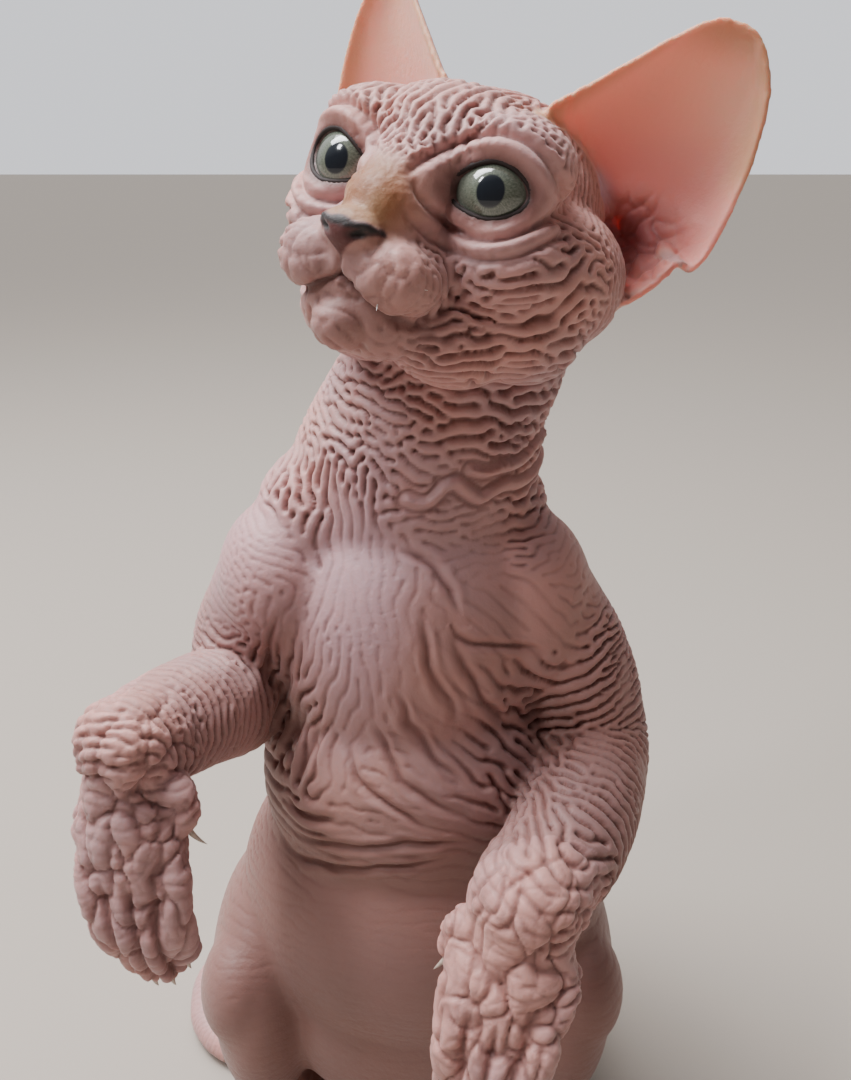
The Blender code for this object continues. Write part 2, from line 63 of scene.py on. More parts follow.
EYE_CENTRE = {1: Vector((0.0144, -0.0224, 0.0023)), -1: Vector((-0.0158, -0.0222, 0.0016))}
EYE_RADIUS = 0.0085
EYE_OUTWARD = math.radians(14)
EYE_UPWARD = math.radians(4)
MUZZLE_X = -0.0013
LID_THICKNESS = 0.0014

EAR_PLANE_TURN = math.radians(23)
EAR_PLANE_OFFSET = 0.0095
EAR_WALL = 0.0015


def head_matrix():
    """The head's pose in the model's frame."""
    turn = Matrix.Rotation(HEAD_YAW, 4, "Z") @ Matrix.Rotation(-HEAD_PITCH_UP, 4, "X")
    return Matrix.Translation(HEAD_CENTRE) @ turn @ Matrix.Rotation(HEAD_ROLL, 4, "Y")


def gaze_matrix(side):
    """A frame at an eye: its -Y axis is the line of sight. The head's frame."""
    turn = Matrix.Rotation(side * EYE_OUTWARD, 4, "Z") @ Matrix.Rotation(-EYE_UPWARD, 4, "X")
    return Matrix.Translation(EYE_CENTRE[side]) @ turn


# Making meshes

def add_object(name, mesh):
    made = bpy.data.objects.new(name, mesh)
    bpy.context.scene.collection.objects.link(made)
    return made


def round_form(subdivisions):
    """The vertices and triangles of a round ball of radius 1."""
    shape = bmesh.new()
    bmesh.ops.create_icosphere(shape, subdivisions=subdivisions, radius=1.0)
    verts = np.array([vert.co for vert in shape.verts])
    faces = np.array([[vert.index for vert in face.verts] for face in shape.faces])
    shape.free()
    return verts, faces


BALL = round_form(5)
BEAD = round_form(4)


class Clay:
    """Loose closed surfaces, gathered to be fused into one."""

    def __init__(self):
        self.verts = []
        self.faces = []
        self.count = 0

    def add(self, verts, faces):
        self.verts.append(verts)
        self.faces.append(faces + self.count)
        self.count += len(verts)

    def place(self, form, matrix):
        rows = np.array(matrix)
        self.add(form[0] @ rows[:3, :3].T + rows[:3, 3], form[1])

    def transform(self, matrix):
        rows = np.array(matrix)
        self.verts = [verts @ rows[:3, :3].T + rows[:3, 3] for verts in self.verts]

    def take(self, made):
        """Add a finished mass back to loose clay."""
        mesh = made.data
        verts = np.empty(len(mesh.vertices) * 3, dtype=np.float32)
        mesh.vertices.foreach_get("co", verts)
        mesh.calc_loop_triangles()
        faces = np.empty(len(mesh.loop_triangles) * 3, dtype=np.int32)
        mesh.loop_triangles.foreach_get("vertices", faces)
        self.add(verts.reshape(-1, 3), faces.reshape(-1, 3))
        bpy.data.objects.remove(made, do_unlink=True)

    def to_object(self, name):
        return add_object(name, triangle_mesh(name, np.vstack(self.verts), np.vstack(self.faces)))


def triangle_mesh(name, verts, faces):
    mesh = bpy.data.meshes.new(name)
    mesh.vertices.add(len(verts))
    mesh.vertices.foreach_set("co", np.asarray(verts, dtype=np.float32).ravel())
    mesh.loops.add(faces.size)
    mesh.loops.foreach_set("vertex_index", faces.astype(np.int32).ravel())
    mesh.polygons.add(len(faces))
    mesh.polygons.foreach_set("loop_start", np.arange(0, faces.size, faces.shape[1], dtype=np.int32))
    mesh.polygons.foreach_set("loop_total", np.full(len(faces), faces.shape[1], dtype=np.int32))
    mesh.update(calc_edges=True)
    return mesh


def bake_modifiers(made):
    graph = bpy.context.evaluated_depsgraph_get()
    mesh = bpy.data.meshes.new_from_object(made.evaluated_get(graph), depsgraph=graph)
    made.modifiers.clear()
    made.data = mesh
    return made


def ball(clay, centre, radii, turn=None):
    """One ellipsoid of clay; turn is a rotation for its axes."""
    place = Matrix.Translation(centre)
    if turn is not None:
        place = place @ turn.to_4x4()
    clay.place(BALL, place @ Matrix.Diagonal((*radii, 1.0)))


def smooth_path(points, step):
    """Points about step apart on a smooth curve through rows of numbers (Catmull-Rom)."""
    rows = np.array(points, dtype=float)
    padded = np.vstack([2 * rows[0] - rows[1], rows, 2 * rows[-1] - rows[-2]])
    path = []
    for before, start, end, after in zip(padded, padded[1:], padded[2:], padded[3:]):
        count = max(2, int(np.linalg.norm((end - start)[:3]) / step))
        for t in np.arange(count) / count:
            path.append(0.5 * (2 * start + (end - before) * t
                               + (2 * before - 5 * start + 4 * end - after) * t ** 2
                               + (3 * start - before - 3 * end + after) * t ** 3))
    path.append(rows[-1])
    return np.array(path)


def limb(clay, points):
    """A round limb: balls along a smooth curve. Each point is (x, y, z, radius)."""
    for x, y, z, radius in smooth_path(points, 0.0016):
        clay.place(BEAD, Matrix.Translation((x, y, z)) @ Matrix.Scale(radius, 4))


def fuse(made, voxel, softness):
    """Fuse overlapping clay into one skin and smooth it over about the given distance."""
    remesh = made.modifiers.new("Fuse", "REMESH")
    remesh.mode = "VOXEL"
    remesh.voxel_size = voxel
    soften = made.modifiers.new("Soften", "SMOOTH")
    soften.factor = 0.5
    soften.iterations = max(1, round(2.0 * (softness / voxel) ** 2))
    return bake_modifiers(made)


# The body's masses, as in the solids

NECK = [(-0.004, 0.012, 0.160, 0.0310), (-0.003, 0.009, 0.180, 0.0295), (0.004, 0.004, 0.203, 0.0242),
        (0.009, 0.004, 0.216, 0.0235), (0.011, 0.004, 0.232, 0.0235)]
SPINE = [(0.000, 0.020, 0.182, 0.014), (0.000, 0.032, 0.145, 0.014), (0.000, 0.038, 0.105, 0.014),
         (0.000, 0.042, 0.065, 0.014), (0.000, 0.038, 0.025, 0.014)]
THIGH_X = {-1: -0.0430, 1: 0.0360}
FOOT_X = {-1: -0.0365, 1: 0.0320}
ARM = {1: [(0.021, -0.002, 0.160, 0.0165), (0.0335, -0.004, 0.138, 0.0165), (0.040, -0.010, 0.118, 0.0150),
           (0.034, -0.034, 0.112, 0.0135), (0.021, -0.056, 0.110, 0.0120)],
       -1: [(-0.034, -0.002, 0.160, 0.0155), (-0.042, -0.001, 0.144, 0.0145), (-0.046, -0.006, 0.130, 0.0135),
            (-0.053, -0.028, 0.137, 0.0125), (-0.060, -0.049, 0.143, 0.0105)]}
PAW = {1: ((0.021, -0.056, 0.110), (0.010, -0.074, 0.065), (-0.2, -0.9, 0.3), 0.028, 0.0045),
       -1: ((-0.061, -0.050, 0.142), (-0.056, -0.063, 0.092), (-0.1, -0.9, 0.3), 0.024, 0.0040)}
PAW_TOE = [(0.35, 0.000, 0.95), (0.56, 0.0024, 1.05), (0.74, 0.0022, 1.00), (0.86, -0.001, 0.92), (0.94, -0.004, 0.88)]
HIND_HEEL_Y = 0.022
HIND_TOE_Y = -0.038
TAIL = [(0.000, 0.040, 0.0105, 0.0085), (-0.030, 0.044, 0.0075, 0.0065), (-0.056, 0.038, 0.0055, 0.0055),
        (-0.0685, 0.024, 0.0050, 0.0050), (-0.0690, 0.010, 0.0046, 0.0046), (-0.0640, 0.001, 0.0044, 0.0044),
        (-0.0570, -0.004, 0.0041, 0.0041), (-0.0535, -0.0053, 0.0039, 0.0038)]
EAR_INNER_EDGE = [(0.0060, 0.0080), (0.0085, 0.0207), (0.0123, 0.0246), (0.0160, 0.0279), (0.0220, 0.0333),
                  (0.0280, 0.0386), (0.0325, 0.0418), (0.0360, 0.0430)]
EAR_OUTER_EDGE = [(0.0260, -0.0150), (0.0345, -0.0087), (0.0395, -0.0026), (0.0410, 0.0004), (0.0438, -0.0004),
                  (0.0458, 0.0030), (0.0468, 0.0080), (0.0476, 0.0140),
                  (0.0481, 0.0218), (0.0470, 0.0330), (0.0430, 0.0405), (0.0385, 0.0430)]


def torso_clay():
    clay = Clay()
    ball(clay, (-0.003, 0.002, 0.143), (0.036, 0.033, 0.042))
    ball(clay, (0.000, 0.010, 0.171), (0.030, 0.027, 0.024))
    ball(clay, (-0.001, 0.000, 0.105), (0.041, 0.038, 0.040))
    ball(clay, (-0.001, -0.001, 0.068), (0.049, 0.044, 0.046))
    ball(clay, (-0.002, -0.002, 0.043), (0.044, 0.041, 0.040))
    ball(clay, (-0.002, 0.018, 0.036), (0.045, 0.036, 0.038))
    ball(clay, (0.000, 0.006, 0.0200), (0.030, 0.028, 0.0240))
    limb(clay, SPINE)
    limb(clay, NECK)
    for side in (-1, 1):
        middle = THIGH_X[side]
        ball(clay, (middle, -0.006, 0.042), (0.0160, 0.033, 0.036))
        ball(clay, (middle + side * 0.004, -0.024, 0.052), (0.0115, 0.014, 0.016))
    ball(clay, (0.025, -0.002, 0.150), (0.016, 0.020, 0.026))
    ball(clay, (-0.0345, -0.003, 0.159), (0.0150, 0.018, 0.020))
    ball(clay, (0.013, 0.004, 0.172), (0.014, 0.018, 0.018))
    ball(clay, (-0.0255, 0.003, 0.173), (0.0150, 0.018, 0.0165))
    return clay


def paw_frame(side):
    """The wrist, length and axes (across, along, out of the back) of a hanging forepaw."""
    wrist, tip, normal, width, toe_radius = PAW[side]
    wrist = Vector(wrist)
    along = Vector(tip) - wrist
    length = along.length
    along.normalize()
    normal = Vector(normal)
    normal = (normal - along * normal.dot(along)).normalized()
    return wrist, length, Matrix((along.cross(normal), along, normal)).transposed(), width, toe_radius


def toe_spread(reach):
    """How far the outer toes lie from the paw's middle, in widths: less towards the tip."""
    return 0.43 - 0.20 * reach


def paw(clay, side):
    """A hanging forepaw: the mass behind the knuckles, four toes and the thumb on the inner side."""
    wrist, length, turn, width, toe_radius = paw_frame(side)
    across, along, normal = turn.col[0], turn.col[1], turn.col[2]
    ball(clay, wrist + along * length * 0.30, (width * 0.44, length * 0.42, width * 0.33), turn)
    for index in range(4):
        share = (index - 1.5) / 1.5
        path = []
        for reach, lift, size in PAW_TOE:
            spot = wrist + along * length * (reach - 0.08 * share * share) + normal * lift
            spot += across * share * width * toe_spread(reach)
            path.append((*spot, size * toe_radius))
        limb(clay, path)
    ball(clay, wrist + along * length * 0.23 + across * side * width * 0.43, (0.0038, 0.0064, 0.0045), turn)


def hind_foot(clay, side):
    """A flat hind foot from heel to toes on the floor."""
    middle = FOOT_X[side]
    limb(clay, [(middle + side * 0.003, HIND_HEEL_Y, 0.0095, 0.0095), (middle + side * 0.001, 0.000, 0.0085, 0.0085),
                (middle - side * 0.001, HIND_TOE_Y + 0.018, 0.0080, 0.0085)])
    for index in range(4):
        across = (index - 1.5) * 0.0053
        reach = HIND_TOE_Y + 0.006 + 0.0012 * abs(index - 1.5)
        ball(clay, (middle + across, reach + 0.006, 0.0068), (0.0037, 0.008, 0.0050))
        ball(clay, (middle + across, reach, 0.0050), (0.0036, 0.0052, 0.0042))


def head_clay():
    """The head in its own frame."""
    clay = Clay()
    ball(clay, (0, 0.005, 0.001), (0.0238, 0.0320, 0.0225))
    ball(clay, (0, -0.014, 0.006), (0.0200, 0.0180, 0.0150))
    limb(clay, [(0, -0.016, 0.009, 0.0100), (0, -0.026, 0.003, 0.0090), (0, -0.0345, -0.0045, 0.0080)])
    ball(clay, (MUZZLE_X, -0.030, -0.014), (0.0145, 0.0140, 0.0110))
    ball(clay, (0, -0.014, -0.019), (0.0200, 0.0210, 0.0100))
    ball(clay, (MUZZLE_X, -0.0315, -0.0232), (0.0130, 0.0105, 0.0080))
    for side in (-1, 1):
        ball(clay, (side * 0.018, -0.003, -0.009), (0.0165, 0.0210, 0.0150))
        ball(clay, (side * 0.019, -0.007, -0.017), (0.0125, 0.0170, 0.0130))
        ball(clay, (side * 0.009, -0.017, -0.0225), (0.0140, 0.0150, 0.0110))
        ball(clay, (side * 0.014, -0.019, 0.009), (0.0120, 0.0110, 0.0085))
        ball(clay, (side * 0.018, -0.020, -0.0075), (0.0115, 0.0115, 0.0100))
    return clay


def muzzle_clay(clay):
    """Finer forms of the face, fused after the first smoothing."""
    ball(clay, (MUZZLE_X, -0.0428, -0.0090), (0.0060, 0.0036, 0.0038))
    ball(clay, (MUZZLE_X, -0.0385, -0.0250), (0.0056, 0.0060, 0.0052))
    for side in (-1, 1):
        ball(clay, (MUZZLE_X + side * 0.0078, -0.0362, -0.0152), (0.0088, 0.0084, 0.0074))
        ball(clay, EYE_CENTRE[side], (EYE_RADIUS + LID_THICKNESS,) * 3)


def ear_point(across, up, forward=0.0):
    """A point of the left ear from its own plane: across to the side, up, and forward of it."""
    cos, sin = math.cos(EAR_PLANE_TURN), math.sin(EAR_PLANE_TURN)
    reach = EAR_PLANE_OFFSET + forward
    return Vector((across * cos + reach * sin, across * sin - reach * cos, up))


def edge_curve(points):
    """A function giving the point at a share of the way along an ear's edge."""
    path = smooth_path([(*p, 0.0) for p in points], 0.0003)
    steps = np.linalg.norm(np.diff(path, axis=0), axis=1)
    length = np.concatenate([[0], np.cumsum(steps)])
    return lambda share: Vector([float(np.interp(share * length[-1], length, path[:, axis])) for axis in (0, 1)])


def ear_bowl(s):
    """The depth of an ear's cup from its inner edge at -1 to its outer edge at 1."""
    return np.clip(1 - s * s, 0, 1) ** 0.7 * (1 + 0.35 * s)


def ear_shell(side, rows=70, columns=60):
    """A cupped ear: a bent sheet between its two edges, thickened. The head's frame."""
    inner_at = edge_curve(EAR_INNER_EDGE)
    outer_at = edge_curve(EAR_OUTER_EDGE)
    verts = []
    for row in range(rows):
        share = row / (rows - 1)
        inner = inner_at(share)
        outer = outer_at(share)
        depth = 0.0145 * (1 - share) ** 0.8 + 0.0006
        for column in range(columns):
            s = 2 * column / (columns - 1) - 1
            spot = inner.lerp(outer, (s + 1) / 2)
            point = ear_point(spot.x, spot.y, -depth * ear_bowl(s))
            verts.append((side * point.x, point.y, point.z))
    first = (np.arange(rows - 1)[:, None] * columns + np.arange(columns - 1)).ravel()
    faces = np.column_stack([first, first + 1, first + columns + 1, first + columns])
    made = add_object("Ear", triangle_mesh("Ear", np.array(verts), faces if side > 0 else faces[:, ::-1]))
    thick = made.modifiers.new("Wall", "SOLIDIFY")
    thick.thickness = EAR_WALL
    thick.offset = 0.0
    made = bake_modifiers(made)
    made.data.transform(head_matrix())
    return made


def build_mass():
    """The whole kitten, smooth, as one fine skin."""
    clay = torso_clay()
    torso = fuse(clay.to_object("Torso"), ROUGH_VOXEL, BODY_SOFTNESS)
    clay = Clay()
    clay.take(torso)
    for side in (-1, 1):
        limb(clay, ARM[side])
        paw(clay, side)
        hind_foot(clay, side)
    body = fuse(clay.to_object("Body"), ROUGH_VOXEL, LIMB_SOFTNESS)
    head = fuse(head_clay().to_object("Head mass"), ROUGH_VOXEL, HEAD_SOFTNESS)
    clay = Clay()
    clay.take(head)
    muzzle_clay(clay)
    clay.transform(head_matrix())
    limb(clay, NECK[1:])
    head = fuse(clay.to_object("Head"), SKIN_VOXEL, HEAD_SOFTNESS * 0.7)
    clay = Clay()
    for side in (-1, 1):
        clay.take(ear_shell(side))
    clay.take(head)
    clay.take(body)
    limb(clay, TAIL)
    return fuse(clay.to_object("Skin"), SKIN_VOXEL, FINAL_SOFTNESS)


# The skin as arrays, in millimetres

def ease(low, high, value):
    """0 at low, 1 at high, smooth between."""
    t = np.clip((value - low) / (high - low), 0.0, 1.0)
    return t * t * (3.0 - 2.0 * t)


class Surface:
    """A skin of quads held as arrays, with each vertex's neighbours."""

    def __init__(self, mesh):
        count = len(mesh.vertices)
        spots = np.empty(count * 3, dtype=np.float32)
        mesh.vertices.foreach_get("co", spots)
        self.spots = spots.reshape(-1, 3) * np.float32(MM)
        loops = np.empty(len(mesh.loops), dtype=np.int32)
        mesh.loops.foreach_get("vertex_index", loops)
        starts = np.empty(len(mesh.polygons), dtype=np.int32)
        mesh.polygons.foreach_get("loop_start", starts)
        totals = np.empty(len(mesh.polygons), dtype=np.int32)
        mesh.polygons.foreach_get("loop_total", totals)
        four = starts[totals == 4]
        quads = loops[four[:, None] + np.arange(4)]
        three = starts[totals == 3]
        corners = loops[three[:, None] + np.arange(3)]
        self.corners = np.vstack([quads, np.column_stack([corners, corners[:, 2]])])
        sides = np.vstack([self.corners[:, [0, 1]], self.corners[:, [1, 2]], self.corners[:, [2, 3]],
                           self.corners[:, [3, 0]]])
        across = np.vstack([quads[:, [0, 2]], quads[:, [1, 3]]])
        links = np.vstack([sides, across])
        share = np.concatenate([np.full(len(sides), 1.0), np.full(len(across), 0.5)])
        keep = links[:, 0] != links[:, 1]
        links, share = links[keep], share[keep]
        links = np.vstack([links, links[:, ::-1]])
        share = np.concatenate([share, share])
        order = np.argsort(links[:, 0], kind="stable")
        self.here = links[order, 0]
        self.there = links[order, 1]
        self.share = share[order]
        self.first = np.searchsorted(self.here, np.arange(count))

    def total(self, values):
        """Sum a value given for each link over the links of each vertex."""
        return np.add.reduceat(values, self.first)

    def even(self):
        return self.share / self.total(self.share)[self.here]

    def spread(self, values, weights, pull, steps):
        """Let values flow to their neighbours; pull is each vertex's rate, from 0 to 1."""
        weights = weights.astype(np.float32)
        values = values.astype(np.float32)
        pull = np.float32(pull)
        for _ in range(steps):
            mean = self.total(weights * values[self.there])
            values = values + pull * (mean - values)
        return values

    def normals(self):
        a, b, c, d = (self.spots[self.corners[:, k]] for k in range(4))
        face = np.cross(c - a, d - b)
        out = np.zeros_like(self.spots)
        for k in range(4):
            for axis in range(3):
                out[:, axis] += np.bincount(self.corners[:, k], weights=face[:, axis], minlength=len(out))
        return out / (np.linalg.norm(out, axis=1)[:, None] + 1e-12)

    def smooth(self, steps, amount=0.5):
        weights = self.even()
        for axis in range(3):
            self.spots[:, axis] = self.spread(self.spots[:, axis], weights, amount, steps)


def in_frame(spots, matrix):
    """Points in millimetres of the model, as millimetres in a frame given in metres."""
    back = np.array(matrix.inverted())
    return spots @ back[:3, :3].T + back[:3, 3] * MM


def turn_out(vectors, matrix):
    """Directions in a frame, as directions in the model."""
    return vectors @ np.array(matrix)[:3, :3].T


def near(spots, centre, radii, edge=0.35):
    """1 inside an ellipsoid, falling smoothly to 0 outside it."""
    reach = np.linalg.norm((spots - np.array(centre)) / np.array(radii), axis=1)
    return ease(1 + edge, 1 - edge, reach)


def along_path(spots, points):
    """How far each spot lies outside a limb, the limb's direction there, and the share and length along it."""
    path = smooth_path(points, 0.003) * MM
    best = np.full(len(spots), 1e9)
    where = np.zeros(len(spots), dtype=np.int32)
    for index, row in enumerate(path):
        gap = np.linalg.norm(spots - row[:3], axis=1) - row[3]
        closer = gap < best
        best[closer] = gap[closer]
        where[closer] = index
    direction = np.gradient(path[:, :3], axis=0)
    steps = np.linalg.norm(direction, axis=1)
    run = np.cumsum(steps)[where]
    direction /= steps[:, None]
    return best, direction[where], where / (len(path) - 1), run + ((spots - path[where, :3]) * direction[where]).sum(1)


def value_noise(spots, size, seed):
    """Smooth noise from -1 to 1 with features about size across."""
    grid = np.random.default_rng(seed).uniform(-1, 1, (32, 32, 32)).astype(np.float32)
    cell = np.floor(spots / size).astype(np.int64)
    part = spots / size - cell
    part = part * part * (3 - 2 * part)
    total = np.zeros(len(spots), dtype=np.float32)
    for corner in range(8):
        step = np.array([corner & 1, corner >> 1 & 1, corner >> 2 & 1])
        share = np.prod(np.where(step == 1, part, 1 - part), axis=1)
        x, y, z = ((cell + step) % 32).T
        total += share * grid[x, y, z]
    return total


def lump_cells(spots, size, seed):
    """Nearest and second nearest distance to scattered points, in shares of their spacing."""
    shifts = np.random.default_rng(seed).uniform(0.15, 0.85, (16, 16, 16, 3)).astype(np.float32)
    scaled = spots / size
    cell = np.floor(scaled).astype(np.int64)
    nearest = np.full(len(spots), 9.0, dtype=np.float32)
    second = nearest.copy()
    for corner in range(27):
        step = np.array([corner % 3 - 1, corner // 3 % 3 - 1, corner // 9 - 1])
        here = cell + step
        x, y, z = (here % 16).T
        gap = np.linalg.norm(here + shifts[x, y, z] - scaled, axis=1)
        second = np.minimum(second, np.maximum(nearest, gap))
        nearest = np.minimum(nearest, gap)
    return nearest, second


def unit(vectors):
    return vectors / (np.linalg.norm(vectors, axis=1)[:, None] + 1e-9)


class Folds:
    """What each zone of the skin asks of the folds, blended where zones meet."""

    def __init__(self, skin, normals):
        count = len(skin.spots)
        self.skin = skin
        self.normals = normals
        self.weight = np.full(count, 0.02)
        self.length = self.weight * 3.0
        self.height = self.weight * 0.10
        self.order = self.weight * 1.0
        self.guide = np.zeros(count)
        self.tensor = np.zeros((count, 6))
        self.wander = value_noise(skin.spots, 7.0, 11) + 0.5 * value_noise(skin.spots, 3.5, 12)

    def zone(self, weight, length, height, across=None, order=6.0, phase=None):
        """A zone's weight at each vertex, its folds' spacing and height, and the direction across them.

        phase is a distance that grows across the folds, for folds that run on for long.
        """
        self.weight += weight
        self.length += weight * length
        self.height += weight * height
        if phase is not None:
            self.guide += weight * np.cos(2 * np.pi * (phase / length + 0.45 * self.wander))
        if across is None:
            return
        across = np.broadcast_to(across, self.normals.shape)
        flat = unit(across - self.normals * (across * self.normals).sum(1)[:, None])
        scale = weight * order
        self.tensor[:, 0] += scale * flat[:, 0] ** 2
        self.tensor[:, 1] += scale * flat[:, 1] ** 2
        self.tensor[:, 2] += scale * flat[:, 2] ** 2
        self.tensor[:, 3] += scale * flat[:, 0] * flat[:, 1] * 2
        self.tensor[:, 4] += scale * flat[:, 1] * flat[:, 2] * 2
        self.tensor[:, 5] += scale * flat[:, 2] * flat[:, 0] * 2

    def pattern(self, seed, rounds=14, along_steps=5, wide_steps=14, gain=4.0, bias=0.16):
        """Grow folds: values from -1 in the valleys to 1 on the ridges."""
        skin = self.skin
        length = self.length / self.weight * (1 + 0.22 * value_noise(skin.spots, 12.0, 31))
        pull = (length / length.max()) ** 2
        tensor = self.tensor / self.weight[:, None]
        step = unit(skin.spots[skin.there] - skin.spots[skin.here])
        x, y, z = step.T
        t = tensor[skin.here].T
        against = t[0] * x * x + t[1] * y * y + t[2] * z * z + t[3] * x * y + t[4] * y * z + t[5] * z * x
        weights = skin.share / (1.0 + against)
        weights /= skin.total(weights)[skin.here]
        even = skin.even()
        rng = np.random.default_rng(seed)
        value = rng.standard_normal(len(skin.spots)) * 0.6 + 1.2 * self.guide / self.weight
        for _ in range(rounds):
            value = skin.spread(value, weights, pull, along_steps)
            value = value - skin.spread(value, even, pull, wide_steps)
            wave = value
            value = np.tanh(gain * value + bias)
        wave = skin.spread(wave, even, pull, 4)
        size = np.sqrt(2.0 * skin.spread(wave * wave, even, pull, wide_steps)) + 1e-6
        return np.clip(wave / size, -1.15, 1.15)


# Given forms, in millimetres in the head's own frame; ropes by degrees round the neck and height

ROPES = [[(-11, 185.3), (-5, 184.3), (0, 185.0), (5, 188.0), (10, 188.6), (16, 186.6), (24, 184.4), (30, 185.6),
          (38, 186.4), (48, 185.6), (62, 186.0), (80, 188.0), (100, 189.0)],
         [(16, 191.4), (24, 190.4), (33, 190.8), (42, 190.8), (50, 191.6), (58, 193.0), (79, 194.5)]]

# The longest creases of the chest and belly, seen from the front: to the cat's left, and height
CREASES = [[(-27, 138), (-29, 129), (-34, 120), (-38, 112)], [(-31, 147), (-33, 137), (-36, 128), (-39, 120)],
           [(-32, 160), (-35, 152), (-37, 144), (-38, 136)], [(-24, 131), (-28, 122), (-31, 114)],
           [(-7, 148), (-4, 137), (2, 127), (12, 120)], [(-19, 130), (-15, 122), (-8, 117), (3, 112)],
           [(-12, 138), (-8, 127), (-1, 120), (11, 114)], [(-1, 163), (0, 155), (3, 146), (8, 134)],
           [(5, 159), (8, 152), (12, 142), (20, 129)], [(3, 162), (7, 157), (17, 152), (28, 148)],
           [(-6, 175), (1, 171), (5, 166), (8, 160)], [(-36, 106), (-32, 102), (-16, 106), (0, 109), (14, 108)],
           [(-34, 112), (-30, 109), (-19, 112)], [(-38, 98), (-31, 95), (-11, 101), (8, 105)]]

# Skin lower than this, in millimetres, is pressed flat on the floor
SOLE = 0.6
MOUTH = [(0.0, -16.8), (3.0, -18.6), (6.0, -20.6), (10.0, -22.2), (14.0, -22.0)]
PAD_CENTRE = (8.4, -14.9)
PAD_RADII = (6.8, 6.6)
CHIN_CENTRE = (0.0, -25.6)
CHIN_RADII = (5.2, 4.4)
NOSTRIL = (3.6, -9.4)
LID_TILT = math.radians(8)
LID_WIDTHS = (8.0, 6.9)
LID_HEIGHTS = (5.1, 4.6)
LID_POINTS = (1.45, 1.75)


def line_place(points, line):
    """Distance in a plane from points to a line of straight stretches, and the share of the way along it."""
    best = np.full(len(points), 1e9)
    way = np.zeros(len(points))
    line = np.array(line)
    for index, (start, end) in enumerate(zip(line, line[1:])):
        run = end - start
        share = np.clip(((points - start) @ run) / (run @ run), 0, 1)
        gap = np.linalg.norm(points - start - share[:, None] * run, axis=1)
        closer = gap < best
        best[closer] = gap[closer]
        way[closer] = index + share[closer]
    return best, way / (len(line) - 1)


def nearest_line(points, lines):
    """Distance to the nearest of some smooth lines, and a taper that falls to 0 at its ends."""
    gap = np.full(len(points), 99.0)
    taper = np.zeros(len(points))
    for line in lines:
        away, share = line_place(points, smooth_path([(*point, 0.0) for point in line], 1.0)[:, :2])
        closer = away < gap
        gap[closer] = away[closer]
        taper[closer] = (ease(0.0, 0.3, share) * ease(1.0, 0.7, share))[closer]
    return gap, taper


def bell(value, middle, width):
    return np.exp(-((value - middle) / width) ** 2)


def lid_oval(along, rise):
    """The lids' almond: 1 on its edge, less inside. Along grows away from the nose."""
    inner = along < 0
    wide = np.abs(along) / np.where(inner, *LID_WIDTHS)
    tall = np.abs(rise) / np.where(rise > 0, *LID_HEIGHTS)
    point = np.where(inner, *LID_POINTS)
    return (wide ** point + tall ** 1.9) ** (1 / 1.8)


def eye_reach(local, side):
    """Place round an eye: its frame's points, the lids' oval reach (1 at the rim) and the gap outside it."""
    seen = in_frame(local, gaze_matrix(side))
    out, up = seen[:, 0] * side, seen[:, 2]
    cos, sin = math.cos(LID_TILT), math.sin(LID_TILT)
    along = out * cos + up * sin
    rise = up * cos - out * sin
    reach = lid_oval(along, rise)
    gap = np.hypot(along, rise) * (1 - 1 / np.maximum(reach, 0.05))
    return seen, reach, gap, rise, along


def shape_lids(skin, local, side):
    """Open the lids over the eyeball and raise the rolls round them; returns a red band and a dark rim, both partly the
    lids' own colour and partly painted shade.
    """
    seen, reach, gap, rise, along = eye_reach(local, side)
    distance = np.linalg.norm(seen, axis=1)
    front = (seen[:, 1] < 1.5) & (distance < 25)
    normals = skin.normals()
    upper = ease(-1.5, 2.0, rise)
    fade = ease(22.0, 15.0, distance)
    above = 1.35 * bell(gap, 2.6, 1.4) - 1.25 * bell(gap, 4.7, 0.65) + 0.45 * bell(gap, 6.4, 1.0)
    below = (0.65 * bell(gap, 1.9, 1.2) - 1.15 * bell(gap, 3.6, 0.55) + 0.85 * bell(gap, 5.2, 1.1)
             - 1.15 * bell(gap, 7.1, 0.55) + 0.45 * bell(gap, 8.4, 0.8))
    height = (upper * above + (1 - upper) * below) * fade * front
    skin.spots += normals * height[:, None]
    centre = np.array(head_matrix() @ gaze_matrix(side))[:3, 3] * MM
    away = skin.spots - centre
    far = np.linalg.norm(away, axis=1)
    eye = EYE_RADIUS * MM
    rim = eye + 0.75 + 0.30 * np.clip(gap, 0, 2)
    lid = np.where(front & (gap < 2.5), np.maximum(far, rim * (1 - ease(1.2, 2.5, gap))), far)
    lid = np.where(gap < 0.9, np.minimum(lid, rim + 0.4), lid)
    inside = ease(1.04, 0.96, reach) * front
    target = lid * (1 - inside) + (eye - 1.4) * inside
    moved = front & (gap < 2.5)
    skin.spots[moved] = centre + away[moved] * (target / far)[moved, None]
    close = front & (distance < 14)
    # The red band round the opening: partly the lids' redder skin, partly painted shade along the lids' edge.
    red = 0.55 * ease(3.0, 0.2, gap) * close
    # The lids' edge and the inner corner go nearly black: partly the dark lid margin, partly painted shade where the
    # lid meets the eye.
    rim = ease(1.0, 0.0, gap) * close
    beyond = -along - LID_WIDTHS[0]
    corner = ease(0.9, 0.2, np.abs(rise + 0.25 * beyond) + 0.35 * beyond) * ease(-1.0, 0.3, beyond) * close
    return red, np.maximum(rim, corner)


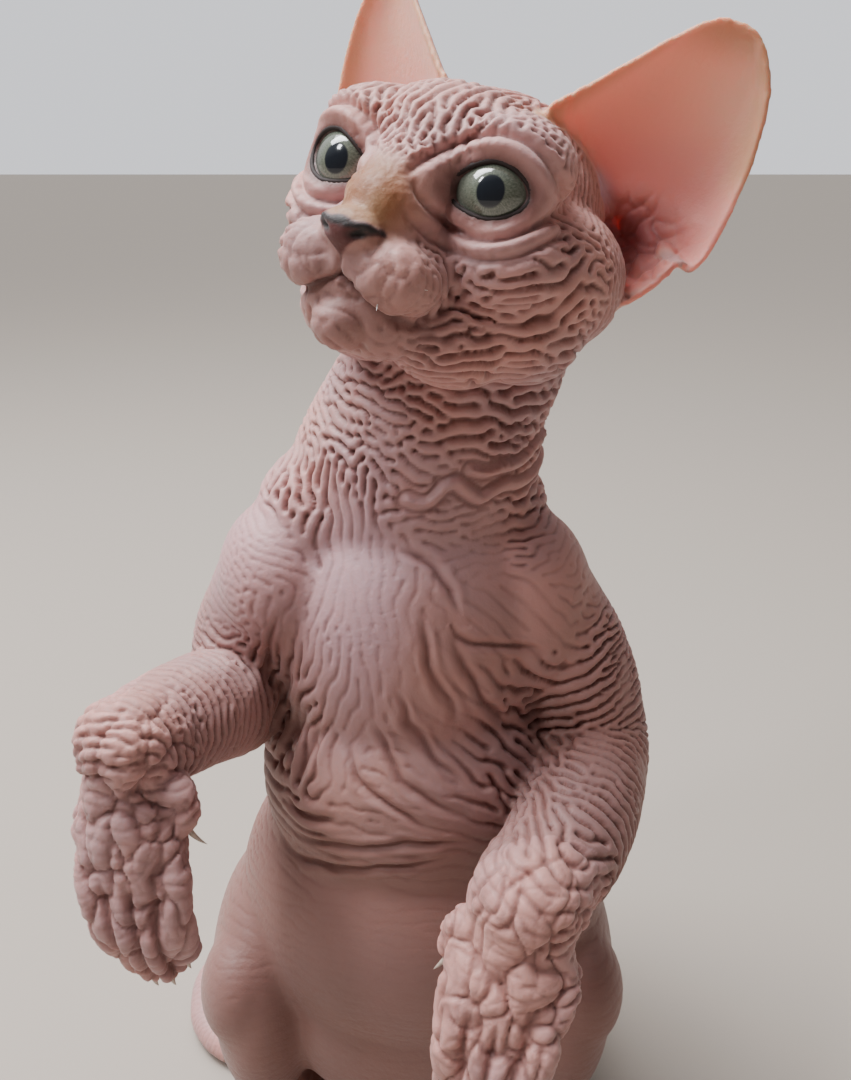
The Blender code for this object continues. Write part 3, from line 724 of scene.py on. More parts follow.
def shape_face(skin):
    """Nose, mouth, whisker pads and chin."""
    local = in_frame(skin.spots, head_matrix()) - (MUZZLE_X * MM, 0, 0)
    x, y, z = local.T
    flat = np.abs(x)
    front = ease(-24.0, -31.0, y) * (z > -34) * (z < 2)
    plane = np.column_stack([flat, z])
    mouth = line_place(plane, MOUTH)[0]
    fade = ease(14.0, 7.0, flat)
    mouth_groove = bell(mouth, 0, 0.55) * front * (0.35 + 0.65 * fade)
    pad = np.hypot((flat - PAD_CENTRE[0]) / PAD_RADII[0], (z - PAD_CENTRE[1]) / PAD_RADII[1])
    pad_side = ease(-0.2, 0.5, (flat - PAD_CENTRE[0]) / PAD_RADII[0])
    pad_crease = bell(pad, 1.12, 0.11) * pad_side * front
    chin = np.hypot(x / CHIN_RADII[0], (z - CHIN_CENTRE[1]) / CHIN_RADII[1])
    chin_crease = bell(chin, 1.15, 0.12) * ease(-24.0, -26.0, z) * front
    philtrum = bell(x, 0, 0.45) * ease(-12.6, -14.0, z) * ease(-17.6, -16.8, z) * front
    nose = nose_leather(local)
    nostril = np.exp(-((flat - NOSTRIL[0]) / 1.5) ** 2 - ((z - NOSTRIL[1] - 0.25 * (flat - NOSTRIL[0])) / 0.7) ** 2)
    nostril *= ease(-38.0, -40.0, y)
    bent = local + 1.5 * np.column_stack([value_noise(local, 4.5, seed) for seed in (41, 42, 43)])
    lumps, border = lump_cells(bent, 5.0, 5)
    lump = 0.7 * np.clip(0.8 - lumps, 0, 1) - 0.40 * ease(0.20, 0.0, border - lumps) + 0.3 * value_noise(local, 2.6, 47)
    pad_skin = ease(1.05, 0.6, pad) * front * (1 - nose)
    bridge = near(local, (0, -41, -3.5), (7.5, 9, 6.0), 0.5) * (1 - nose)
    height = (0.35 * nose - 1.5 * nostril - 1.6 * mouth_groove - 0.9 * pad_crease - 0.7 * chin_crease
              - 0.9 * philtrum + pad_skin * (0.1 + 0.8 * lump) + ease(1.0, 0.3, chin) * front * (0.4 + 0.3 * lump)
              + 0.16 * bridge * lump)
    skin.spots += skin.normals() * height[:, None]
    # Painted shade: the borders between the pad's lumps, and the groove of the mouth, are darkened in the colour.
    return {"face_crease_painted_shade": 0.40 * pad_skin * ease(0.12, 0.0, border - lumps), "mouth": bell(mouth, 0, 0.45) * front * (0.4 + 0.6 * fade), "nostril": nostril, "nose": nose,
            "philtrum": philtrum}


def nose_leather(local):
    """The bare nose: wide at its winged top, narrow where it meets the lip."""
    x, y, z = local.T
    flat = np.abs(x)
    top = -7.3 - 0.35 * np.clip(flat - 3.8, 0, None) ** 1.5 + 0.25 * np.cos(flat * 1.2)
    half = 6.3 * np.clip((z + 14.6) / 5.8, 0, 1) ** 1.9
    return ease(0.35, -0.35, z - top) * ease(0.4, -0.4, flat - half) * ease(-38.0, -40.0, y) * (z > -15.2)


def ear_place(local, side):
    """Where a spot lies on an ear: across and up its plane, forward of it, and -1 to 1 between its edges."""
    x = local[:, 0] * side
    y, up = local[:, 1], local[:, 2]
    cos, sin = math.cos(EAR_PLANE_TURN), math.sin(EAR_PLANE_TURN)
    across = x * cos + y * sin
    forward = x * sin - y * cos - EAR_PLANE_OFFSET * MM
    inner = np.array(EAR_INNER_EDGE) * MM
    outer = np.array(EAR_OUTER_EDGE) * MM
    low = np.interp(up, inner[:, 1], inner[:, 0], left=6.0)
    high = np.interp(up, outer[:, 1], outer[:, 0], left=26.0)
    share = 2 * (across - low) / np.maximum(high - low, 1.0) - 1
    return across, up, forward, share


def ear_mask(local, side):
    """1 on the thin sheet of an ear, rim and all."""
    across, up, forward, share = ear_place(local, side)
    height = np.clip((up + 15) / 58, 0, 1)
    bowl = -(14.5 * (1 - height) ** 0.8 + 0.6) * np.clip(1 - share ** 2, 0, 1) ** 0.7
    band = ease(3.2, 1.8, np.abs(forward - bowl))
    beyond = (np.abs(share) - 1) * np.interp(up, (-15, 10, 30, 43), (10, 19, 16, 1.3))
    return band * ease(2.6, 1.4, beyond) * ease(-14.0, -9.0, up) * (local[:, 0] * side > 5)


def neck_place(spots):
    """Degrees round the neck from its front, and height, of spots near it; and the way round it."""
    middle_x = -4 + (spots[:, 2] - 160) * 0.21
    middle_y = 12 - (np.minimum(spots[:, 2], 203) - 160) * 0.19
    round_neck = np.degrees(np.arctan2(spots[:, 0] - middle_x, middle_y - spots[:, 1]))
    return round_neck, spots[:, 2]


def shape_ropes(skin):
    """The rope-like folds at the foot of the neck; returns how near each vertex is to one, and the painted shade in the
    groove beside each.
    """
    angle, rise = neck_place(skin.spots)
    place = np.column_stack([angle * 0.48, rise])
    some = (rise > 165) & (rise < 210) & (np.abs(angle) < 120)
    gap = np.full(len(place), 99.0)
    taper = np.zeros(len(place))
    gap[some], taper[some] = nearest_line(place[some], [[(a * 0.48, z) for a, z in rope] for rope in ROPES])
    thick = (1.45 + 0.35 * value_noise(skin.spots, 6.0, 26)) * (0.4 + 0.6 * taper)
    height = 1.2 * np.sqrt(np.clip(1 - (gap / thick) ** 2, 0, 1)) - 0.6 * bell(gap, 2.0, 0.55)
    skin.spots += skin.normals() * height[:, None]
    return ease(2.8, 1.5, gap), bell(gap, 2.0, 0.5)


def shape_creases(skin):
    """Press the long creases into the chest and the underside; returns where they lie and the painted shade in each
    crease.
    """
    x, y, z = skin.spots.T
    some = (y > -42) & (y < 2) & (z > 25) & (z < 182) & (np.abs(x) < 56)
    gap = np.full(len(x), 99.0)
    taper = np.zeros(len(x))
    place = np.column_stack([x, z])[some] + 0.8 * value_noise(skin.spots[some], 5.0, 27)[:, None]
    gap[some], taper[some] = nearest_line(place, CREASES)
    height = taper * (0.45 * bell(gap, 2.1, 0.9) - 1.15 * bell(gap, 0, 0.75))
    skin.spots += skin.normals() * height[:, None]
    return taper * ease(2.4, 1.4, gap), 0.75 * taper * bell(gap, 0, 0.6)


def shape_paws(skin):
    """Clefts between the toes and lumpy skin on all four feet; returns the painted shade for each cleft."""
    normals = skin.normals()
    height = np.zeros(len(skin.spots))
    cleft = np.zeros(len(skin.spots))
    for side in (-1, 1):
        wrist, length, turn, width, toe = paw_frame(side)
        place = (skin.spots - np.array(wrist) * MM) @ np.array(turn)
        reach = place[:, 1] / (length * MM)
        close = near(place, (0, length * MM * 0.45, 0), (width * MM * 0.8, length * MM * 0.85, width * MM * 0.62), 0.1)
        hand = ease(-0.40, 0.0, reach) * close
        bent = place / (1.0, 1.5, 1.0)
        bent = bent + 2.4 * np.column_stack([value_noise(place, 6.0, seed) for seed in (51, 52, 53)])
        lumps, border = lump_cells(bent, 7.2, 9 + side)
        edge = ease(0.15, 0.0, border - lumps)
        small, small_border = lump_cells(bent, 4.0, 19 + side)
        small_edge = ease(0.14, 0.0, small_border - small)
        slot = width * MM * toe_spread(np.clip(reach, 0, 1)) / 1.5
        between = np.minimum(np.abs(place[:, 0]), np.abs(np.abs(place[:, 0]) - slot))
        toes = ease(0.42, 0.58, reach) * close * (np.abs(place[:, 0]) < slot * 1.6)
        dome = np.sqrt(np.clip(1 - (lumps / 0.85) ** 2, 0, 1)) - 0.6
        height += hand * (2.3 * dome - 0.6 * edge - 0.22 * small_edge - 0.40 * small)
        height -= toes * 1.5 * bell(between, 0, 0.7)
        # Painted shade in the clefts between the toes and between the lumps.
        cleft = np.maximum(cleft, np.maximum(toes * bell(between, 0, 0.6), hand * (0.8 * edge + 0.3 * small_edge)))
        across = np.abs(skin.spots[:, 0] - FOOT_X[side] * MM)
        foot = (across < 14) * (skin.spots[:, 2] < 16)
        between = np.minimum(across, np.abs(across - 5.3))
        toes = foot * ease(-18, -24, skin.spots[:, 1]) * (across < 8)
        height -= toes * 1.0 * bell(between, 0, 0.6)
        cleft = np.maximum(cleft, toes * bell(between, 0, 0.6))
    skin.spots += normals * height[:, None]
    return cleft


def set_zones(folds, skin, ropes):
    """What the folds do in each part of the body."""
    spots = skin.spots
    turn = head_matrix()
    local = in_frame(spots, turn)
    z = local[:, 2]
    ears = np.maximum(ear_mask(local, 1), ear_mask(local, -1))
    bare = 1 - ears

    def to_model(vector):
        return turn_out(np.array(vector, dtype=float), turn)

    head = near(local, (0, -8, -2), (36, 42, 32), 0.12) * bare
    folds.zone(head * 0.25, 3.2, 0.60, to_model((0, 0.2, 1.0)), 2.0)
    folds.zone(near(local, (0, -24, 14), (15, 15, 11)) * bare * 5.0, 3.0, 0.66, to_model((1, 0, 0)), 4.0)
    folds.zone(near(local, (0, 6, 20), (22, 20, 10)) * bare * 0.8, 3.0, 0.50, to_model((1, 0, 0)), 6.0)
    for side in (-1, 1):
        eye = np.array(EYE_CENTRE[side]) * MM
        from_eye = turn_out(unit(local - eye), turn)
        pad_point = np.array((MUZZLE_X * MM + side * PAD_CENTRE[0], -34.0, PAD_CENTRE[1]))
        from_pad = turn_out(unit(local - pad_point), turn)
        folds.zone(near(local, (side * 23, -6, 12), (9, 13, 9)) * bare * 1.2, 2.6, 0.35,
                   to_model((side * 1.0, 0.75, 0.1)), 7.0)
        folds.zone(near(local, (side * 27, 4, -6), (8, 12, 12)) * bare, 3.2, 0.65,
                   to_model((side * 0.3, 1.0, 0.0)), 5.0)
        reach = np.linalg.norm(local - eye, axis=1)
        folds.zone(near(local, (side * 20, -20, -10), (13, 14, 9)) * bare * 1.5, 3.8, 0.95, from_eye, 4.5)
        folds.zone(near(local, (side * 17, -14, -22), (14, 17, 10)) * bare * 1.3, 4.2, 1.00,
                   to_model((0, -0.25, 1.0)), 3.0)
        folds.zone(near(local, (side * 13, -33, -15), (5.5, 7, 9)) * bare * 1.3, 3.0, 0.75, from_pad, 5.0)
        folds.zone(near(local, (side * 8, -38, -15), (6.5, 7, 6), 0.3) * bare * 5.0, 3.4, 0.06)
        seen, reach, gap, rise, along = eye_reach(local, side)
        far = np.where(rise > 0, 5.4, 7.6)
        lids = ease(1.25, 0.8, gap / far) * (seen[:, 1] < 2) * ease(20, 16, np.linalg.norm(seen, axis=1))
        folds.zone(lids * 8.0, 3.0, 0.04)
    folds.zone(near(local, (-1, -42, -8), (8, 7, 8), 0.25) * 8.0, 3.0, 0.05)
    folds.zone(near(local, (-1, -39, -1), (7, 7, 7), 0.4) * 3.0, 2.6, 0.16, to_model((1, 0, 0)), 1.0)
    folds.zone(near(local, (-1, -36, -27), (9, 10, 7)) * 2.5, 4.2, 0.32, to_model((0.4, 0.3, 1)), 2.0)
    folds.zone(ears * 12.0, 3.0, 0.02)
    gap, axis, share, run = along_path(spots, NECK)
    angle, rise = neck_place(spots)
    front = ease(130, 80, np.abs(angle))
    neck = ease(9.0, 3.0, gap) * ease(188, 194, rise) * ease(226, 214, rise) * (1 - head)
    folds.zone(neck * 2.0, 3.6, 0.75 + 0.35 * ease(10, 50, angle), axis, 1.6)
    collar = ease(9.0, 3.0, gap) * ease(158, 172, rise) * ease(198, 190, rise) * (1 - ropes)
    strength = 0.12 + 0.42 * ease(168, 186, rise) + 0.40 * ease(20, 60, np.abs(angle))
    folds.zone(collar * 1.6 * ease(-30, -10, angle), 3.6, strength, axis, 2.0)
    folds.zone(collar * 1.6 * ease(-10, -30, angle), 4.0, strength, (0.8, -0.5, 0.3), 2.2)
    folds.zone(ropes * 8.0, 3.0, 0.03)
    for side in (-1, 1):
        wrist, length, turn_paw, width, toe = paw_frame(side)
        tip = wrist + turn_paw.col[1] * length
        whole = ARM[side] + [(*wrist.lerp(tip, share), 0.35 * width) for share in (0.3, 0.65, 1.0)]
        gap, axis, share, run = along_path(spots, whole)
        arm = ease(5.0, 2.0, gap) * ease(14.0, 34.0, run)
        hand = ease(0.52, 0.66, share)
        folds.zone(arm * 4.0 * (1 - hand), 2.9, 0.60 + 0.30 * ease(0.55, 0.25, share), axis, 9.0, run)
        folds.zone(arm * 4.0 * hand, 4.2, 0.45 * ease(0.72, 0.56, share) + 0.06, axis, 1.2)
        pit = near(spots, (side * 30 - 4, -14, 126 if side > 0 else 130), (13, 16, 20))
        folds.zone(pit * 1.6, 4.4, 0.95, (0.85 * side, -0.2, 0.4), 8.0)
        folds.zone(near(spots, (side * 37, -5, 163), (14, 18, 15)) * 3.0, 3.4, 0.16, axis, 4.0)
        foot_path = [(FOOT_X[side], 0.030, 0.008, 0.009), (FOOT_X[side], -0.038, 0.006, 0.009)]
        gap, axis, share, run = along_path(spots, foot_path)
        foot = ease(5.0, 1.0, gap) * ease(24, 14, rise)
        folds.zone(foot * 2.0, 2.8, 0.14, axis, 4.0)
        thigh = near(spots, (side * 50, -4, 40), (16, 34, 34))
        folds.zone(thigh * 1.2, 3.4, 0.09, (0.2 * side, 0.8, 1.0), 5.0)
        folds.zone(near(spots, (side * 44, 4, 14), (16, 26, 12)) * 1.0, 3.0, 0.16, (0, 0.5, 1.0), 4.0)
    chest = ease(6.0, -10.0, spots[:, 1])
    folds.zone(near(spots, (-8, -30, 158), (13, 20, 19)) * chest * 2.0, 4.0, 0.20, (0.9, 0, 0.2), 9.0)
    for side, way in ((1, (0.68, 0.0, 0.74)), (-1, (0.95, 0.0, -0.30))):
        flank_side = ease(2, 14, side * (spots[:, 0] + 8)) * ease(44, 34, np.abs(spots[:, 0]))
        vee = flank_side * chest * ease(168, 154, rise) * ease(108, 118, rise)
        strength = 0.20 + 0.60 * ease(152, 122, rise) * ease(12, 26, side * (spots[:, 0] + 8))
        folds.zone(vee * 3.0, 5.0, strength, way, 15.0, spots @ np.array(way))
    sag = rise + 0.22 * spots[:, 0] + 0.006 * (spots[:, 0] + 6) ** 2
    ribs = bell(rise, 112, 12) * chest * ease(46, 38, np.abs(spots[:, 0]))
    folds.zone(ribs * 3.0, 4.8, 0.24 + 0.30 * ease(12, 30, np.abs(spots[:, 0] + 3)), (0.2, 0, 1), 14.0, sag)
    folds.zone(near(spots, (0, -30, 62), (50, 30, 38)) * chest * 3.0, 4.6, 0.04, (0, 0, 1), 6.0)
    back = ease(8.0, 24.0, spots[:, 1])
    folds.zone(back * ease(200, 186, rise) * ease(120, 140, rise), 4.6, 0.55, (0, 0.3, 1), 5.0)
    folds.zone(back * ease(140, 120, rise), 4.4, 0.12, (0, 0.2, 1), 6.0)
    flank = ease(24, 34, np.abs(spots[:, 0])) * ease(168, 150, rise) * ease(60, 80, rise)
    folds.zone(flank * 1.0, 3.6, 0.28, (0, 0.2, 1), 7.0)
    gap, axis, share, run = along_path(spots, TAIL)
    folds.zone(ease(4.0, 1.5, gap) * ease(22, 14, rise) * 6.0, 2.6, 0.12, axis, 8.0)


def fold_skin(skin):
    """Grow the folds over the whole skin, and return what the material needs to know."""
    masks = shape_face(skin)
    local = in_frame(skin.spots, head_matrix())
    lid_reds_and_painted_shade, rims_and_painted_shade = np.zeros(len(local)), np.zeros(len(local))
    for side in (-1, 1):
        red, rim = shape_lids(skin, local, side)
        lid_reds_and_painted_shade, rims_and_painted_shade = np.maximum(lid_reds_and_painted_shade, red), np.maximum(rims_and_painted_shade, rim)
    rims_and_painted_shade = skin.spread(rims_and_painted_shade, skin.even(), 0.7, 4)
    thin = np.maximum(ear_mask(local, 1), ear_mask(local, -1))
    for axis in range(3):
        skin.spots[:, axis] = skin.spread(skin.spots[:, axis], skin.even(), 0.6 * thin, 5)
    masks.update(shape_ears(skin, local))
    ropes, rope_groove_painted_shade = shape_ropes(skin)
    creases, crease_painted_shade = shape_creases(skin)
    cleft = shape_paws(skin)
    normals = skin.normals()
    folds = Folds(skin, normals)
    set_zones(folds, skin, ropes)
    folds.zone(creases * 5.0, 5.0, 0.05)
    wave = folds.pattern(seed=7)
    uneven = 1.0 + 0.50 * value_noise(skin.spots, 8.0, 21) + 0.35 * value_noise(skin.spots, 4.0, 22)
    uneven += 0.55 * ease(178.0, 160.0, skin.spots[:, 2]) * value_noise(skin.spots, 24.0, 25)
    height = folds.height / folds.weight * np.clip(uneven, 0.25, 2.0)
    hollow = np.clip((0.86 - wave) / 1.92, 0, 1.05)
    puffy = 0.62 - 0.70 * hollow ** 2 - 1.30 * hollow ** 4
    creased = 0.25 - 1.60 * hollow ** 6
    fall = puffy + (creased - puffy) * ease(0.50, 0.22, height)
    down = np.array((0.0, 0.0, -1.0)) + normals * normals[:, 2:3]
    droop = 0.5 * np.clip(fall, 0, 1) * np.clip(height - 0.3, 0, 1)
    skin.spots += normals * (fall * height)[:, None] + down * droop[:, None]
    skin.smooth(1, 0.4)
    low = skin.spots[:, 2] < SOLE
    skin.spots[low, 2] = SOLE * np.exp(skin.spots[low, 2] / SOLE - 1)
    # Painted shade: the skin is darkened in the valleys of the folds, in the toe clefts, in the grooves beside the neck
    # ropes and in the long chest creases.
    dark = ease(0.55, 1.0, hollow) * np.clip(height / 0.7, 0, 1)
    dark = np.maximum.reduce([dark, 0.8 * cleft, 0.7 * rope_groove_painted_shade, crease_painted_shade])
    masks.update(lids=lid_reds_and_painted_shade, lid_rim=rims_and_painted_shade, hollow=dark)
    masks.update(colour_masks(skin, local, masks))
    return masks


def shape_ears(skin, local):
    """The folds inside each ear: its canal, the lumps before it, the pocket on the outer edge and the rim."""
    height = np.zeros(len(local))
    inside = np.zeros(len(local))
    rim = np.zeros(len(local))
    deep = np.zeros(len(local))
    cool = np.zeros(len(local))
    red = np.zeros(len(local))
    sink = np.zeros_like(local)
    bent = local + 1.2 * np.column_stack([value_noise(local, 3.0, seed) for seed in (44, 45, 46)])
    normals = skin.normals()
    turn = head_matrix()
    for side in (-1, 1):
        across, up, forward, share = ear_place(local, side)
        mask = ear_mask(local, side)
        facing = turn_out(np.array((side * math.sin(EAR_PLANE_TURN), -math.cos(EAR_PLANE_TURN), 0.0)), turn)
        inward = mask * ease(-0.25, 0.15, normals @ facing)
        canal = np.hypot((across - 31.0) / 1.1, up - 3.0)
        lumps, border = lump_cells(bent, 4.4, 23 + side)
        knobs = np.clip(1 - 1.1 * lumps, 0, 1) - 0.6 * ease(0.20, 0.0, border - lumps)
        height += 1.0 * inward * ease(12.0, 6.0, canal) * knobs
        back = mask * (2.6 * bell(canal, 0, 3.6) + 0.8 * bell(np.hypot(across - 41.8, up - 1.5), 0, 1.8)
                       - 1.0 * bell(np.hypot(across - 41.5, up - 8.0), 0, 3.0))
        sink -= facing * back[:, None]
        face_side = across - np.interp(up, (-6, 3, 20), (37, 26, 8))
        pleat = np.cos(2 * np.pi * (face_side + 0.8 * value_noise(local, 6.0, 24)) / 2.4)
        pleats = inward * ease(10.0, 3.0, face_side) * ease(-2.0, 4.0, up) * ease(34.0, 16.0, up)
        height += 0.20 * pleats * pleat
        inside = np.maximum(inside, inward)
        rim = np.maximum(rim, inward * np.maximum(ease(0.74, 0.98, np.abs(share)) * ease(12, 20, up), ease(35, 43, up)))
        # The dark red round the canal is partly the ear's own colour and partly painted shade in the canal.
        deep = np.maximum(deep, inward * ease(11.5, 2.0, canal))
        cool = np.maximum(cool, inward * ease(1.0, 0.3, np.hypot((across - 20) / 7.5, (up - 9) / 6.5)))
        red = np.maximum(red, inward * ease(30.0, 8.0, np.hypot(across - 31, up - 6)))
    skin.spots += sink
    skin.spots += normals * height[:, None]
    return {"ear_inside": inside, "ear_rim": rim, "ear_deep_red_and_painted_shade": deep, "ear_cool": cool, "ear_red": red}


def colour_masks(skin, local, masks):
    """Where the bare skin changes colour: the tan bridge and the dark top of the nose, with painted shade in the
    nostrils; the lower front, partly its own darker tone and partly painted shade, with painted shade under the chin,
    on the chest, the flank and in the armpits; and a pale violet tone with a painted cool highlight on the shoulder and
    chest top.
    """
    z = local[:, 2]
    tan = near(local, (-1, -41, -3.0), (8.4, 10, 7.8), 0.40) * (1 - masks["nose"])
    # The dark top of the nose is its own colour; the nostrils are painted shade in their hollows.
    dark = np.maximum(masks["nose"] * ease(-9.1, -8.4, z), np.clip(masks["nostril"] * 1.6, 0, 1))
    rise = skin.spots[:, 2]
    front = ease(30.0, 0.0, skin.spots[:, 1])
    # The lower front darkens downward, partly its own darker tone and partly painted shade from the light above; the
    # chin and pads, the upper chest, the right flank and the armpits get painted shade too.
    belly = front * (0.45 * ease(172, 150, rise) + 0.55 * ease(135, 98, rise)) * (np.abs(skin.spots[:, 0]) < 60) * (skin.spots[:, 1] > -52)
    belly = np.maximum(belly, 0.70 * near(local, (-1, -37, -20), (16, 13, 12), 0.5))
    belly = np.maximum(belly, 0.50 * near(skin.spots, (-6, -38, 160), (17, 14, 20), 0.3))
    belly = np.maximum(belly, 0.60 * near(skin.spots, (-36, -22, 84), (15, 20, 30), 0.5))
    for pit in ((-36, -14, 128), (30, -16, 126)):
        belly = np.maximum(belly, near(skin.spots, pit, (9, 13, 15), 0.5))
    # Partly the skin's own violet tone, partly a painted cool highlight on the lit right shoulder and chest top.
    lilac_and_painted_highlight = np.maximum(near(skin.spots, (-16, -22, 165), (12, 18, 30), 0.6), near(skin.spots, (-38, -8, 168), (14, 16, 16), 0.6))
    return {"tan": tan, "nose_dark_and_nostril_shade": dark, "belly": belly, "lilac_and_painted_highlight": lilac_and_painted_highlight}


def skin_object(name, skin, masks):
    """Make the folded skin an object that carries its masks."""
    mesh = bpy.data.meshes.new(name)
    corners = skin.corners
    triangle = corners[:, 3] == corners[:, 2]
    loops = np.concatenate([corners[~triangle].ravel(), corners[triangle][:, :3].ravel()])
    totals = np.concatenate([np.full((~triangle).sum(), 4), np.full(triangle.sum(), 3)])
    mesh.vertices.add(len(skin.spots))
    mesh.vertices.foreach_set("co", (skin.spots / MM).astype(np.float32).ravel())
    mesh.loops.add(len(loops))
    mesh.loops.foreach_set("vertex_index", loops.astype(np.int32))
    mesh.polygons.add(len(totals))
    mesh.polygons.foreach_set("loop_start", np.concatenate([[0], np.cumsum(totals)[:-1]]).astype(np.int32))
    mesh.polygons.foreach_set("loop_total", totals.astype(np.int32))
    mesh.update(calc_edges=True)
    mesh.shade_smooth()
    for label, values in masks.items():
        layer = mesh.attributes.new(label, "FLOAT", "POINT")
        layer.data.foreach_set("value", values.astype(np.float32))
    return add_object(name, mesh)


# Materials

class Nodes:
    """A small helper that adds nodes to one material and links them."""

    def __init__(self, name):
        self.material = bpy.data.materials.new(name)
        self.material.use_nodes = True
        self.tree = self.material.node_tree
        self.surface = self.tree.nodes["Principled BSDF"]

    def add(self, kind, **values):
        node = self.tree.nodes.new(kind)
        for key, value in values.items():
            setattr(node, key, value)
        return node

    def link(self, source, target):
        self.tree.links.new(source, target)

    def attribute(self, name):
        return self.add("ShaderNodeAttribute", attribute_name=name).outputs["Fac"]

    def noise(self, scale, detail=3.0, roughness=0.55, where=None):
        node = self.add("ShaderNodeTexNoise")
        node.inputs["Scale"].default_value = scale
        node.inputs["Detail"].default_value = detail
        node.inputs["Roughness"].default_value = roughness
        self.link(where or self.place(), node.inputs["Vector"])
        return node.outputs["Fac"]

    def place(self):
        return self.add("ShaderNodeTexCoord").outputs["Object"]

    def span(self, value, low, high, to_low=0.0, to_high=1.0):
        node = self.add("ShaderNodeMapRange")
        for key, number in zip(("From Min", "From Max", "To Min", "To Max"), (low, high, to_low, to_high)):
            node.inputs[key].default_value = number
        self.link(value, node.inputs["Value"])
        return node.outputs["Result"]

    def math(self, operation, first, second):
        node = self.add("ShaderNodeMath", operation=operation)
        for socket, value in zip(node.inputs, (first, second)):
            if isinstance(value, (int, float)):
                socket.default_value = value
            else:
                self.link(value, socket)
        return node.outputs["Value"]

    def mix(self, share, first, second):
        node = self.add("ShaderNodeMix", data_type="RGBA")
        for socket, value in ((node.inputs["Factor"], share), (node.inputs["A"], first), (node.inputs["B"], second)):
            if isinstance(value, tuple):
                socket.default_value = (*value, 1.0)
            elif isinstance(value, (int, float)):
                socket.default_value = value
            else:
                self.link(value, socket)
        return node.outputs["Result"]

    def bump(self, height, strength, distance, below=None):
        node = self.add("ShaderNodeBump")
        node.inputs["Strength"].default_value = strength
        node.inputs["Distance"].default_value = distance
        self.link(height, node.inputs["Height"])
        if below is not None:
            self.link(below, node.inputs["Normal"])
        return node.outputs["Normal"]

    def set(self, **values):
        for key, value in values.items():
            self.surface.inputs[key.replace("_", " ")].default_value = value


PINK = (0.550, 0.280, 0.245)
MAUVE = (0.450, 0.260, 0.255)
# The dark red-brown of the painted shade in folds and creases.
PAINTED_VALLEY_SHADE = (0.150, 0.048, 0.036)
TAN = (0.335, 0.172, 0.086)
# Partly the inner ear's own pink, partly painted light shining through the thin ear.
EAR_PINK_AND_PAINTED_GLOW = (0.90, 0.50, 0.36)
EAR_RIM = (0.62, 0.33, 0.20)
LID_RED_AND_PAINTED_SHADE = (0.22, 0.065, 0.050)
NOSE_DARK_AND_NOSTRIL_SHADE = (0.020, 0.014, 0.014)
NOSE_RED = (0.100, 0.026, 0.024)


